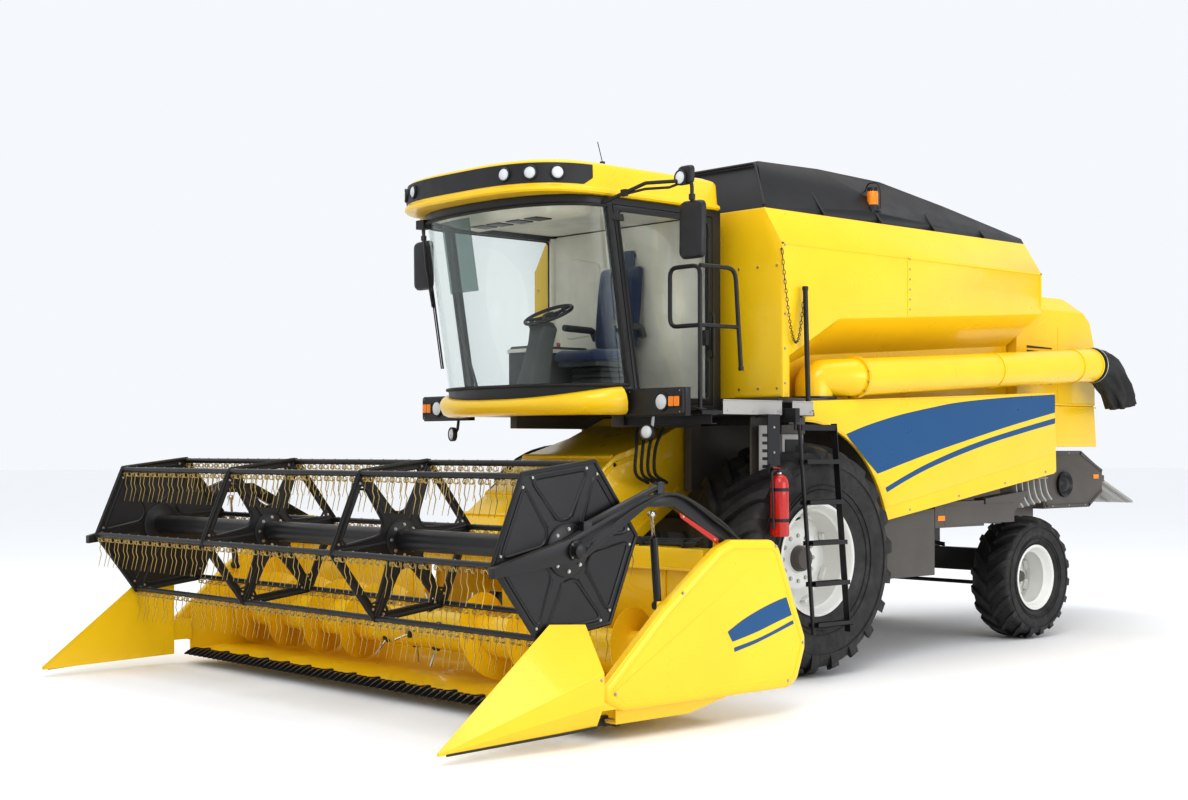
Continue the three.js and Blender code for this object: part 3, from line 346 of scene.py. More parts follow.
# ---- mesh tools --------------------------------------------------------------------------
def smooth_path(points, steps=6):
    """More points on a curve through the given ones."""
    p = [Vector(q) for q in points]
    p = [2 * p[0] - p[1], *p, 2 * p[-1] - p[-2]]
    out = []
    for a, b, c, d in zip(p, p[1:], p[2:], p[3:]):
        for i in range(steps):
            t = i / steps
            out.append(0.5 * (2 * b + (c - a) * t + (2 * a - 5 * b + 4 * c - d) * t ** 2
                              + (3 * b - a - 3 * c + d) * t ** 3))
    return [*out, p[-2]]


def bent_path(points, radius, steps=4):
    """The straight runs between points, with a round bend of that radius at each inner corner."""
    p = [Vector(q) for q in points]
    out = [p[0]]
    for a, b, c in zip(p, p[1:], p[2:]):
        into, away = (b - a).normalized(), (c - b).normalized()
        half = into.angle(away, 0) / 2
        back = min(radius * math.tan(half), 0.45 * (b - a).length, 0.45 * (c - b).length)
        start, end = b - into * back, b + away * back
        for i in range(steps + 1):
            t = i / steps
            out.append((1 - t) ** 2 * start + 2 * t * (1 - t) * b + t ** 2 * end)
    return [*out, p[-1]]


def rounded(outline, radius, steps=4):
    """A closed flat outline with its corners rounded."""
    p = [Vector((*q, 0)) for q in outline]
    out = []
    for i, b in enumerate(p):
        a, c = p[i - 1], p[(i + 1) % len(p)]
        into, away = (b - a).normalized(), (c - b).normalized()
        half = into.angle(away, 0) / 2
        if half < 0.02:
            out.append(tuple(b.xy))
            continue
        size = radius[i] if isinstance(radius, (list, tuple)) else radius
        back = min(size * math.tan(half), 0.45 * (b - a).length, 0.45 * (c - b).length)
        for k in range(steps + 1):
            t = k / steps
            q = (1 - t) ** 2 * (b - into * back) + 2 * t * (1 - t) * b + t ** 2 * (b + away * back)
            out.append(tuple(q.xy))
    return out


def inset(outline, distance):
    """The outline moved inwards by a distance, whichever way round it runs."""
    area = sum(a[0] * b[1] - b[0] * a[1] for a, b in zip(outline, [*outline[1:], outline[0]]))
    sign = 1 if area > 0 else -1
    out = []
    for i, b in enumerate(outline):
        a, c = Vector(outline[i - 1]), Vector(outline[(i + 1) % len(outline)])
        b = Vector(b)
        n1 = Vector((-(b - a).y, (b - a).x)).normalized() * sign
        n2 = Vector((-(c - b).y, (c - b).x)).normalized() * sign
        n = (n1 + n2).normalized()
        out.append(tuple(b + n * distance / max(0.35, n.dot(n1))))
    return out


def shrunk(outline, size):
    """The outline at a share of its size, about its middle."""
    middle = sum((Vector(p) for p in outline), Vector((0, 0))) / len(outline)
    return [tuple(middle.lerp(Vector(p), size)) for p in outline]


def arc(centre, radius, start, end, steps):
    """Points on a circle from start to end, in degrees."""
    angles = [math.radians(start + (end - start) * i / steps) for i in range(steps + 1)]
    return [(centre[0] + radius * math.cos(a), centre[1] + radius * math.sin(a)) for a in angles]


class Shape:
    """One mesh in the machine's own axes, gathered from simple parts, each with a material."""

    def __init__(self, *materials):
        self.materials = list(materials)
        self.points, self.faces, self.slots = [], [], []
        self.slot = 0

    def use(self, material):
        if material not in self.materials:
            self.materials.append(material)
        self.slot = self.materials.index(material)
        return self

    def add(self, points, faces):
        base = len(self.points)
        self.points.extend(tuple(p) for p in points)
        self.faces.extend([base + i for i in f] for f in faces)
        self.slots.extend([self.slot] * len(faces))
        return self

    def loft(self, rings, closed=False):
        """Faces between rings of as many points each, capped unless the last ring joins the first."""
        count = len(rings[0])
        points = [p for ring in rings for p in ring]
        faces = []
        for k in range(len(rings) if closed else len(rings) - 1):
            a, b = k * count, ((k + 1) % len(rings)) * count
            for i in range(count):
                j = (i + 1) % count
                faces.append([a + i, a + j, b + j, b + i])
        if not closed:
            faces.append(list(range(count))[::-1])
            faces.append([len(points) - count + i for i in range(count)])
        return self.add(points, faces)

    def block(self, x0, x1, y0, y1, z0, z1):
        return self.prism_z([(x0, y0), (x1, y0), (x1, y1), (x0, y1)], z0, z1)

    def prism_x(self, outline, x0, x1):
        return self.loft([at_x(x0, outline), at_x(x1, outline)])

    def prism_z(self, outline, z0, z1):
        return self.loft([at_z(z0, outline), at_z(z1, outline)])

    def tube(self, points, radius, sides=10, closed=False):
        """A round bar along the points; radius may be one number or one for each point."""
        p = [Vector(q) for q in points]
        count = len(p)
        radii = radius if isinstance(radius, (list, tuple)) else [radius] * count
        along = []
        for i in range(count):
            before = p[i - 1] if i or closed else p[i]
            after = p[(i + 1) % count] if i < count - 1 or closed else p[i]
            along.append((after - before).normalized())
        across = along[0].orthogonal().normalized()
        rings = []
        for i in range(count):
            if i:
                across = along[i - 1].rotation_difference(along[i]) @ across
            across = (across - along[i] * across.dot(along[i])).normalized()
            side = along[i].cross(across)
            rings.append([p[i] + (across * math.cos(a) + side * math.sin(a)) * radii[i] for a in turns(sides)])
        return self.loft(rings, closed=closed)

    def rod(self, start, end, radius, sides=16):
        return self.tube([start, end], radius, sides)

    def lathe(self, centre, axis, profile, sides=48):
        """A body turned about an axis through centre; profile is a closed run of [along, radius] points."""
        axis = Vector(axis).normalized()
        centre = Vector(centre)
        across = axis.orthogonal().normalized()
        side = axis.cross(across)
        rings = []
        for along, radius in profile:
            rings.append([centre + axis * along + (across * math.cos(a) + side * math.sin(a)) * radius
                          for a in turns(sides)])
        return self.loft(rings, closed=True)

    def bolt(self, place, axis, size=0.012):
        """A hexagon head on a washer."""
        place, axis = Vector(place), Vector(axis).normalized()
        self.tube([place - axis * 0.002, place + axis * size * 0.2], size * 1.25, 12)
        self.tube([place, place + axis * size * 0.85], size, 6)
        return self

    def bolts(self, places, axis, size=0.012):
        for place in places:
            self.bolt(place, axis, size)
        return self

    def placed(self, matrix):
        """All its points moved by a matrix."""
        self.points = [tuple(matrix @ Vector(p)) for p in self.points]
        if matrix.determinant() < 0:
            self.faces = [f[::-1] for f in self.faces]
        return self

    def done(self, name, body, slot=None, replaces=(), bevel=0.0, segments=2, angle=32, subdivide=0):
        mesh = bpy.data.meshes.new(name)
        points = [(x, y + AXLE_Y, z) for x, y, z in self.points]
        mesh.from_pydata(points, [], self.faces)
        for material in self.materials:
            mesh.materials.append(material)
        mesh.polygons.foreach_set("material_index", self.slots)
        work = bmesh.new()
        work.from_mesh(mesh)
        bmesh.ops.remove_doubles(work, verts=work.verts, dist=1e-6)
        bmesh.ops.recalc_face_normals(work, faces=work.faces)
        work.to_mesh(mesh)
        work.free()
        mesh.shade_smooth()
        piece = bpy.data.objects.new(name, mesh)
        bpy.context.scene.collection.objects.link(piece)
        if bevel:
            add_bevel(piece, bevel, segments, angle)
        if subdivide:
            rounding = piece.modifiers.new("rounding", "SUBSURF")
            rounding.levels = rounding.render_levels = subdivide
        else:
            mesh.set_sharp_from_angle(angle=math.radians(angle))
        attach(piece, body)
        if replaces:
            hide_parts(*replaces)
        return piece


def add_bevel(piece, width, segments=2, angle=32):
    rounding = piece.modifiers.new("edges", "BEVEL")
    rounding.width = width
    rounding.segments = segments
    rounding.limit_method = "ANGLE"
    rounding.angle_limit = math.radians(angle)
    rounding.harden_normals = True
    rounding.use_clamp_overlap = True


def dress(node, material, bevel=0.004, segments=2):
    """A CAD node shown as it is, with its material and slightly rounded edges."""
    piece = NODES[node]
    piece.data.materials.clear()
    piece.data.materials.append(material)
    weld = piece.modifiers.new("weld", "WELD")
    weld.merge_threshold = 1e-5
    flat = piece.modifiers.new("flat_faces", "DECIMATE")
    flat.decimate_type = "DISSOLVE"
    flat.angle_limit = math.radians(0.6)
    piece.data.shade_smooth()
    if bevel:
        add_bevel(piece, bevel, segments)
    return piece


# ---- wheels ------------------------------------------------------------------------------
FRONT_WHEEL = {"x": 1.290, "radius": 0.920, "half": 0.390, "rim": 0.440, "bead": 0.300, "disc": 0.060,
               "y": 0.0, "lug": 0.052, "bars": 21, "bolts": 12, "hub": 0.150}
REAR_WHEEL = {"x": 1.097, "radius": 0.575, "half": 0.200, "rim": 0.300, "bead": 0.150, "disc": -0.110,
              "y": box_middle("rear_tyre_left").y - AXLE_Y, "lug": 0.034, "bars": 19, "bolts": 8, "hub": 0.085}


def tyre_crown(wheel, x):
    """Radius of the tread at a distance x from the middle of the tyre."""
    share = min(1.0, abs(x) / wheel["half"])
    base = wheel["radius"] - wheel["lug"]
    return base - 0.055 * base * share ** 3


def add_tyre(end, side, sign, wheel):
    half, rim = wheel["half"], wheel["rim"]
    shape = Shape(TYRE)
    wall = wheel["radius"] - rim
    crown = [(x * half, tyre_crown(wheel, x * half)) for x in (0.86, 0.72, 0.5, 0.25, 0, -0.25, -0.5, -0.72, -0.86)]
    sidewall = [(0.93, 0.77), (0.985, 0.66), (1.0, 0.50), (0.97, 0.34), (0.90, 0.20), (0.84, 0.10)]
    left = [(s * half, rim + t * wall) for s, t in sidewall]
    bead = wheel["bead"]
    down = [*left, (bead + 0.004, rim + 0.012), (bead + 0.002, rim + 0.001)]
    shape.lathe((0, 0, 0), (1, 0, 0), [*reversed(down), *crown, *((-x, r) for x, r in down)], 96)
    # thin moulded rings on both walls
    for t in (0.22, 0.30, 0.62):
        x = half * (0.915 if t < 0.25 else 0.955 if t < 0.5 else 0.990)
        for s in (-1, 1):
            ring = [(s * (x - 0.01), rim + t * wall - 0.008), (s * (x + 0.007), rim + t * wall - 0.003),
                    (s * (x + 0.007), rim + t * wall + 0.003), (s * (x - 0.01), rim + t * wall + 0.008)]
            shape.lathe((0, 0, 0), (1, 0, 0), ring, 72)
    add_tread(shape, wheel, sign)
    place_wheel(shape, wheel, sign)
    shape.done(f"{end}_tyre_{side}_tread", f"{end}_wheel_{side}", "tyre", [f"{end}_tyre_{side}"], angle=40)


def add_tread(shape, wheel, sign):
    """Slanting tread bars, staggered left and right and wider towards the shoulder."""
    half, lug, bars, radius = (wheel[k] for k in ("half", "lug", "bars", "radius"))
    wall = radius - wheel["rim"]
    width = 0.30 * 2 * math.pi * radius / bars
    stops = [(0.02, 0.0), (0.2, 0.16), (0.42, 0.36), (0.64, 0.56), (0.84, 0.70), (0.97, 0.76), (1.02, 0.79)]
    for s in (-1, 1):
        for first in turns(bars, 0.5 if s > 0 else 0):
            rings = []
            for share, along in stops:
                x = s * share * half if share < 1 else s * half * 0.995
                turn = first - sign * along * half / radius * 1.15
                low = tyre_crown(wheel, x) - 0.02
                high = tyre_crown(wheel, x) + lug - 0.028 * share ** 4 * (radius / FRONT_WHEEL["radius"])
                if share > 0.9:
                    low = wheel["rim"] + 0.60 * wall
                if share > 1:
                    high = low + 0.10 * wall
                wide = width * (0.36 if share < 0.1 else 0.42 + 0.16 * share)
                ring = []
                for r, w in ((low, wide * 1.25), (high, wide), (high, -wide), (low, -wide * 1.25)):
                    a = turn + w / radius
                    ring.append((x, r * math.cos(a), r * math.sin(a)))
                rings.append(ring)
            shape.loft(rings)


def place_wheel(shape, wheel, sign):
    move = Matrix.Translation((sign * wheel["x"], wheel["y"], wheel["radius"]))
    if sign < 0:
        move = move @ Matrix.Scale(-1, 4, (1, 0, 0))
    shape.placed(move)


def add_rim(end, side, sign, wheel):
    rim, bead, disc, hub = wheel["rim"], wheel["bead"], wheel["disc"], wheel["hub"]
    shape = Shape(WHITE)
    lining = 0.012
    deep = rim * 0.80
    outside = [(bead + 0.002, rim - 0.001), (bead + 0.016, rim + 0.006), (bead + 0.020, rim - 0.004),
               (bead + 0.006, rim - 0.018), (bead - 0.035, rim - 0.030), (bead - 0.055, rim - 0.05)]
    well = [(0.03, deep + 0.028), (-0.06, deep + 0.02), (-bead + 0.10, rim - 0.05)]
    back = [(-bead + 0.02, rim - 0.018), (-bead - 0.010, rim - 0.004), (-bead - 0.008, rim + 0.006),
            (-bead + 0.002, rim - 0.001)]
    outer_face = outside + well + back
    inner_face = [(x, r - lining) for x, r in reversed(outer_face[1:-1])]
    shape.lathe((0, 0, 0), (1, 0, 0), outer_face + [(-bead + 0.002, rim - lining)] + inner_face, 80)
    # the dished disc, with a raised ring for the bolts and a rolled edge where it is welded in
    face = [(disc + 0.055, 0.0), (disc + 0.055, hub * 0.72), (disc + 0.045, hub * 0.80), (disc + 0.046, hub * 1.55),
            (disc + 0.036, hub * 1.68), (disc + 0.004, deep * 0.80), (disc - 0.010, deep * 0.93),
            (disc - 0.004, deep + 0.022)]
    rear = [(x - 0.012, r) for x, r in reversed(face)]
    shape.lathe((0, 0, 0), (1, 0, 0), face + rear, 72)
    shape.use(GREY)
    cap = [(disc + 0.05, hub * 0.70), (disc + 0.10, hub * 0.66), (disc + 0.125, hub * 0.55), (disc + 0.13, 0.0)]
    shape.lathe((0, 0, 0), (1, 0, 0), cap + [(disc + 0.05, 0.0)], 40)
    shape.use(ZINC)
    bolt_ring = hub * 1.2
    for a in turns(wheel["bolts"]):
        place = (disc + 0.045, bolt_ring * math.cos(a), bolt_ring * math.sin(a))
        shape.bolt(place, (1, 0, 0), 0.015 if end == "front" else 0.012)
    shape.use(WHITE)
    for a in turns(8, 0.5):
        c, n = Vector((0, math.cos(a), math.sin(a))), Vector((0, -math.sin(a), math.cos(a)))
        mid = c * (deep * 0.98) + Vector((disc + 0.02, 0, 0))
        corners = ((-0.05, -0.02), (0.05, -0.02), (0.05, 0.02), (-0.05, 0.02))
        lug = [mid + n * w + Vector((h, 0, 0)) for w, h in corners]
        shape.loft([lug, [p + c * 0.03 for p in lug]])
    shape.use(RUBBER)
    valve = Vector((disc + 0.02, 0, deep * 0.86))
    shape.rod(valve, valve + Vector((0.05, 0, 0.02)), 0.008, 8)
    place_wheel(shape, wheel, sign)
    shape.done(f"{end}_rim_{side}_disc", f"{end}_wheel_{side}", "rim_paint", [f"{end}_rim_{side}"], angle=35)


def add_wheels():
    for side, sign in SIDES:
        for end, wheel in (("front", FRONT_WHEEL), ("rear", REAR_WHEEL)):
            add_tyre(end, side, sign, wheel)
            add_rim(end, side, sign, wheel)


# ---- the reel ----------------------------------------------------------------------------
REEL = {"y": -3.442, "z": 1.178, "radius": 0.565, "plate": 0.600, "half": 2.524, "shaft": 0.075, "bar": 0.020,
        "phase": math.radians(6.96)}
BAR_COUNT = 6
SPIDER_PLACES = (-0.840, 0.840)


def reel_point(radius, turn, x):
    return (x, REEL["y"] + radius * math.cos(turn), REEL["z"] + radius * math.sin(turn))


def sector(turn, outline):
    """One sixth of the reel's plate: along is square to its middle line, out is away from the shaft."""
    middle = turn + math.pi / BAR_COUNT
    c, s = math.cos(middle), math.sin(middle)
    return [(REEL["y"] + out * c - along * s, REEL["z"] + out * s + along * c) for along, out in outline]


def facing(outline, centre, angles):
    """Where rays from the centre, one for each angle, leave the outline."""
    out = []
    for turn in angles:
        ray = Vector((math.cos(turn), math.sin(turn)))
        best = None
        for a, b in zip(outline, [*outline[1:], outline[0]]):
            a, edge = Vector(a) - centre, Vector(b) - Vector(a)
            cross = ray.cross(edge)
            if abs(cross) < 1e-12:
                continue
            reach, along = a.cross(edge) / cross, a.cross(ray) / cross
            if reach > 0 and -1e-9 <= along <= 1 + 1e-9 and (best is None or reach < best):
                best = reach
        out.append(tuple(centre + ray * best))
    return out


def plate_window(outer):
    """The arch-shaped opening, or pressing, in one sixth of the reel's plate."""
    outline = [(-0.235, outer - 0.055), (0.235, outer - 0.055), (0.045, 0.185), (-0.045, 0.185)]
    return rounded(outline, [0.035, 0.035, 0.11, 0.11], 6)


def add_reel():
    shape = Shape(BLACK)
    half, plate, shaft = REEL["half"], REEL["plate"], REEL["shaft"]
    corner = [REEL["phase"] + 2 * math.pi * i / BAR_COUNT for i in range(BAR_COUNT)]
    outer = plate * math.cos(math.pi / BAR_COUNT)
    shape.rod((-half, REEL["y"], REEL["z"]), (half, REEL["y"], REEL["z"]), shaft, 40)
    shape.rod((-2.6, REEL["y"], REEL["z"]), (2.6, REEL["y"], REEL["z"]), 0.030, 20)
    hexagon = [reel_point(plate, a, 0)[1:] for a in corner]
    for s in (-1, 1):
        x = s * (half - 0.005)
        shape.prism_x(rounded(hexagon, 0.03), x - 0.003, x + 0.003)
        add_plate_border(shape, x, corner, plate)
        for a in corner:
            ring = sector(a, plate_window(outer))
            shape.tube(at_x(x, ring), 0.013, 6, closed=True)
            for d in (-0.035, 0.035):
                edge = sector(a + math.pi / BAR_COUNT, [(d, 0.20), (d, plate - 0.07)])
                shape.tube(at_x(x, edge), 0.008, 6)
        add_plate_hub(shape, x, 0.15, s)
    for x in SPIDER_PLACES:
        for a in corner:
            add_spider_sector(shape, x, a, outer)
        add_plate_border(shape, x, corner, plate - 0.004)
        add_plate_hub(shape, x, 0.125, 1)
    shape.done("reel_frame", "reel", "black_paint", ["reel_rotor"], angle=40)


def add_plate_border(shape, x, corner, reach):
    """The rolled edge of a reel plate and the clips that hold the tine bars."""
    border = [Vector(reel_point(reach - 0.016, a, x)) for a in corner]
    path = []
    for i, b in enumerate(border):
        a, c = border[i - 1], border[(i + 1) % BAR_COUNT]
        path += [b + (a - b) * 0.06, b, b + (c - b) * 0.06]
    shape.tube(path, 0.015, 8, closed=True)
    shape.use(ZINC)
    for a in corner:
        for turn in (-0.09, 0.09):
            for s in (-1, 1):
                shape.bolt(reel_point(REEL["radius"] - 0.045, a + turn, x + s * 0.004), (s, 0, 0), 0.008)
    shape.use(BLACK)


def add_plate_hub(shape, x, radius, bolt_side):
    wide = radius + 0.015
    profile = [(0, 0.03), (0, radius), (0.008, wide), (0.032, wide), (0.04, radius), (0.04, 0.03)]
    shape.lathe((x - 0.02, REEL["y"], REEL["z"]), (1, 0, 0), profile, 32)
    shape.use(ZINC)
    for a in turns(8):
        shape.bolt(reel_point(radius - 0.022, a, x + bolt_side * 0.02), (bolt_side, 0, 0), 0.010)
    shape.use(BLACK)


def add_spider_sector(shape, x, a, outer):
    """One sixth of an open spider: a pressed plate round an arch-shaped opening, with rolled edges."""
    window = plate_window(outer)
    side = outer / math.cos(math.pi / BAR_COUNT) / 2
    whole = [(-side, outer), (side, outer), (0.055, 0.095), (-0.055, 0.095)]
    middle = Vector((0, 0.36))
    hole, edge = (facing(outline, middle, turns(48)) for outline in (window, whole))
    thick = 0.005
    rings = []
    for outline, dx in ((edge, -thick), (edge, thick), (hole, thick), (hole, -thick)):
        rings.append(at_x(x + dx, sector(a, outline)))
    shape.loft(rings, closed=True)
    shape.tube(at_x(x, sector(a, hole[::2])), 0.011, 6, closed=True)
    for s in (-1, 1):
        arm = sector(a, [(s * 0.075, 0.12), (s * (side - 0.02), outer - 0.004)])
        shape.tube(at_x(x, arm), 0.010, 6)


TINE_STEP = 0.152
TINE_LENGTH = 0.255


def add_tine_bars():
    """Each bar with its pairs of spring tines hanging straight down."""
    half = REEL["half"] - 0.0103
    count = int(2 * (half - 0.05) / TINE_STEP)
    places = [-half + 0.06 + k * (2 * half - 0.12) / count for k in range(count + 1)]
    for i in range(BAR_COUNT):
        _, y, z = reel_point(REEL["radius"], REEL["phase"] + 2 * math.pi * i / BAR_COUNT, 0)
        shape = Shape(BLACK)
        shape.rod((-half, y, z), (half, y, z), REEL["bar"], 16)
        shape.use(BRASS)
        for x in places:
            at_spider = min(abs(x - s) for s in SPIDER_PLACES) < 0.03
            add_tine_pair(shape, x + 0.04 if at_spider else x, y, z)
        shape.use(ZINC)
        shape.bolts([(x, y, z + REEL["bar"] - 0.002) for x in places], (0, 0, 1), 0.006)
        shape.done(f"tine_bar_{i + 1}_tines", f"tine_bar_{i + 1}", "tine_steel", [f"tine_bar_{i + 1}"], angle=50)


def add_tine_pair(shape, x, y, z):
    """One spring wire: clamped under the bar, a coil at each end and two legs with a slight crook."""
    wire = 0.0034
    coil = 0.018
    under = z - REEL["bar"] - 0.010
    for s in (-1, 1):
        points = [(x, y - coil, under), (x + s * 0.018, y - coil, under)]
        for k in range(12):
            a = math.radians(180 + 52 * k)
            height = under - coil * 0.4 + coil * math.sin(a)
            points.append((x + s * (0.020 + 0.0022 * k), y + coil * math.cos(a), height))
        leg = x + s * 0.047
        points += [(leg, y + 0.012, under - coil - 0.012), (leg, y + 0.004, under - 0.085),
                   (leg, y + 0.018, under - 0.125), (leg, y - 0.006, z - TINE_LENGTH)]
        shape.tube(points, [wire] * (len(points) - 1) + [wire * 0.6], 5)


def add_reel_arms():
    for side, _ in SIDES:
        dress(f"reel_arm_{side}", BLACK, 0.004)
        dress(f"reel_cylinder_{side}", BLACK, 0.002)
        dress(f"reel_piston_{side}", STEEL, 0.0)


# ---- cab ---------------------------------------------------------------------------------
CAB = {"half": 0.985, "front": -1.970, "pillar": -1.400, "rear": -0.450, "wall": 0.050, "lean": 0.165,
       "sill": 2.270, "head": 3.600}
DOOR = {"front": -1.400, "rear": -0.540, "low": 2.130, "high": 3.620}


def cab_plan(out, z, count=40, share=1.0):
    """Points of the cab's bowed front at a height, moved outward, from the left pillar to the right."""
    half = CAB["half"] + out
    depth = (CAB["pillar"] - CAB["front"]) + out
    lean = CAB["lean"] * (z - CAB["sill"])
    points = []
    for i in range(count + 1):
        a = math.pi * (0.5 - share * (0.5 - i / count))
        c, s = math.cos(a), math.sin(a)
        x = half * math.copysign(abs(c) ** 0.8, c)
        points.append((x, CAB["pillar"] - depth * s ** 0.8 - lean, z))
    return points


def band(shape, levels, share=1.0, count=40, back=0.012, dip=0.0):
    """A sheet round the cab's front: levels are [height, outward] pairs, going up.  dip lowers its middle."""
    face = [cab_plan(out, z, count, share) for z, out in levels]
    rear = [cab_plan(out - back, z, count, share) for z, out in reversed(levels)]
    rings = [list(p) for p in zip(*(face + rear))]
    low = levels[0][0]
    for i, ring in enumerate(rings):
        keep = 1 - dip * math.sin(math.pi * i / count) ** 1.3
        rings[i] = [(x, y, low + (z - low) * keep) for x, y, z in ring]
    shape.loft(rings)


def lean_y(y, z):
    return y - CAB["lean"] * (z - CAB["sill"])


def side_frame(x, front, rear, low, high):
    """The leaning outline of an opening in the cab's side, with rounded corners."""
    corners = [(x, lean_y(front, low), low), (x, rear, low), (x, rear, high), (x, lean_y(front, high), high)]
    return bent_path([*corners, corners[0]], 0.05)[:-1]


def add_cab_front():
    sill = Shape(YELLOW)
    band(sill, [(2.045, -0.03), (2.050, 0.025), (2.075, 0.060), (2.14, 0.078), (2.195, 0.070), (2.232, 0.048),
                (2.256, 0.018)], share=0.90, count=48, back=0.03, dip=0.40)
    sill.done("cab_sill", "chassis", "yellow_paint", bevel=0.004, angle=40)

    seal = Shape(RUBBER)
    for z in (CAB["sill"], CAB["head"]):
        seal.tube(cab_plan(0.004, z, 48, 0.97), 0.012, 8)
    for end in (-1, 0):
        seal.tube([cab_plan(0.004, z, 48, 0.97)[end] for z in (CAB["sill"], 2.9, CAB["head"])], 0.014, 8)
    opening = side_frame(-CAB["half"], DOOR["front"], DOOR["rear"], CAB["sill"], CAB["head"])
    seal.tube(opening, 0.010, 6, closed=True)
    seal.done("glass_seals", "chassis", "black_plastic", angle=60)

    inner = Shape(RUBBER)
    edge = 0.045
    x, rear = CAB["half"] + 0.001, DOOR["rear"] - edge
    opening = side_frame(x, DOOR["front"] + edge, rear, DOOR["low"] + edge, DOOR["high"] - edge)
    inner.tube(opening, 0.009, 6, closed=True)
    inner.use(PLASTIC)
    inner.block(x - 0.02, x + 0.022, rear - 0.055, rear + 0.03, 2.60, 2.72)
    handle = at_y(rear + 0.01, [(x + 0.01, 2.50), (x + 0.045, 2.52), (x + 0.045, 2.84), (x + 0.01, 2.86)])
    inner.tube(bent_path(handle, 0.03), 0.010, 8)
    inner.done("door_seal_and_handle", "cab_door", "black_plastic", angle=50)

    glass = Shape(GLASS)
    band(glass, [(z, -0.010) for z in (CAB["sill"], 2.60, 2.95, 3.30, CAB["head"])], share=0.975, count=56, back=0.006)
    glass.done("windshield_glass", "chassis", "cab_glass", ["windshield"], angle=60)

    shade = Shape(SHADE)
    front = cab_plan(-0.05, 3.58, 60)[31:40]
    foot = cab_plan(-0.05, 3.02, 60)[31:40]
    rings = []
    for t in range(7):
        row = [Vector(a).lerp(Vector(b), t / 6) for a, b in zip(front, foot)]
        rings.append(row + [p + Vector((0, 0.004, 0)) for p in reversed(row)])
    shade.loft(rings)
    shade.done("sun_shade", "chassis", "cab_glass", angle=60)


def add_wiper():
    """The wiper in front of the right-hand half of the windshield, with its parallel arms."""
    shape = Shape(PLASTIC)
    foot = cab_plan(0.03, 3.585, 60)
    for k in (44, 46):
        top = Vector(foot[k])
        low = Vector(cab_plan(0.035, 2.95, 60)[k + 5])
        shape.tube([top, top.lerp(low, 0.5) + Vector((-0.01, -0.012, 0)), low], 0.009, 6)
    shape.block(foot[45][0] - 0.05, foot[45][0] + 0.05, foot[45][1] - 0.03, foot[45][1] + 0.05, 3.56, 3.63)
    blade = [Vector(cab_plan(0.020, z, 60)[50]) for z in (3.45, 3.2, 2.95, 2.7, 2.45)]
    shape.tube(blade, 0.007, 6)
    shape.tube([p + Vector((-0.012, -0.010, 0)) for p in blade], 0.005, 6)
    shape.done("windshield_wiper", "chassis", "black_plastic", angle=50)


def roof_plan(out, z, count=28):
    """Closed plan of the roof: a bowed front, straight sides and rounded rear corners."""
    half = CAB["half"] + 0.030 + out
    front, side, rear = -2.370 - out, -1.72, CAB["rear"] + 0.030 + out
    bow = []
    for i in range(count + 1):
        a = math.pi * i / count
        c, s = math.cos(a), math.sin(a)
        bow.append((half * math.copysign(abs(c) ** 0.62, c), side + (front - side) * s ** 0.80))
    back = [(-half, rear - 0.10), (-half + 0.03, rear - 0.03), (-half + 0.10, rear), (half - 0.10, rear),
            (half - 0.03, rear - 0.03), (half, rear - 0.10)]
    return [Vector(p) for p in at_z(z, [*bow, *back])]


def add_roof():
    roof = Shape(YELLOW)
    levels = [(3.672, -0.045), (3.676, -0.012), (3.690, 0.0), (3.712, -0.002), (3.725, -0.014), (3.740, -0.018),
              (3.880, -0.026), (3.902, -0.038), (3.922, -0.085), (3.938, -0.16), (3.948, -0.26), (3.954, -0.40)]
    roof.loft([roof_plan(out, z) for z, out in levels])
    roof.done("roof_shell", "chassis", "yellow_paint", ["cab_roof"], angle=35)

    visor = Shape(PLASTIC)
    steps = range(1, 28)
    low, high = 3.738, 3.888
    lower = [roof_plan(-0.012, low)[i] for i in steps]
    upper = [roof_plan(-0.020, high)[i] for i in steps]
    for end in (0, -1):
        lower[end] = lower[end].lerp(upper[end], 0.35)
    rings = []
    for a, b in zip(lower, upper):
        back = Vector((-a.x * 0.02, 0.03, 0))
        rings.append([a, b, b + back, a + back])
    visor.loft(rings)
    visor.done("roof_visor", "chassis", "black_plastic", bevel=0.004)

    lights = Shape(PLASTIC)
    front = roof_plan(-0.014, (low + high) / 2)
    for i in (4.9, 7.8, 10.4, 17.6, 20.2, 23.1):
        k = int(i)
        place = front[k].lerp(front[k + 1], i - k)
        along = (front[k + 1] - front[k]).normalized()
        out = Vector((along.y, -along.x, 0))
        if out.dot(place - Vector((0, -1.2, place.z))) < 0:
            out = -out
        add_round_lamp(lights, place, out, 0.048)
    lights.done("roof_lamps", "chassis", "lamp_glass", angle=40)

    aerial = Shape(PLASTIC)
    aerial.rod((0.80, -1.55, 3.925), (0.80, -1.55, 3.965), 0.020, 12)
    aerial.rod((0.80, -1.55, 3.96), (0.80, -1.60, 4.11), 0.003, 6)
    aerial.done("roof_aerial", "chassis", "black_plastic")


def add_round_lamp(shape, place, out, radius):
    """A round work lamp: black bezel and a domed lens."""
    shape.use(PLASTIC)
    bezel = [(-0.02, radius * 0.6), (-0.02, radius * 1.12), (0.012, radius * 1.16), (0.018, radius * 1.06),
             (0.012, radius * 0.95), (0.006, radius * 0.6)]
    shape.lathe(place, out, bezel, 28)
    shape.use(LENS)
    dome = [(0.004, 0.0), (0.004, radius * 0.97), (0.012, radius * 0.90), (0.020, radius * 0.6), (0.024, 0.0)]
    shape.lathe(place, out, dome, 28)


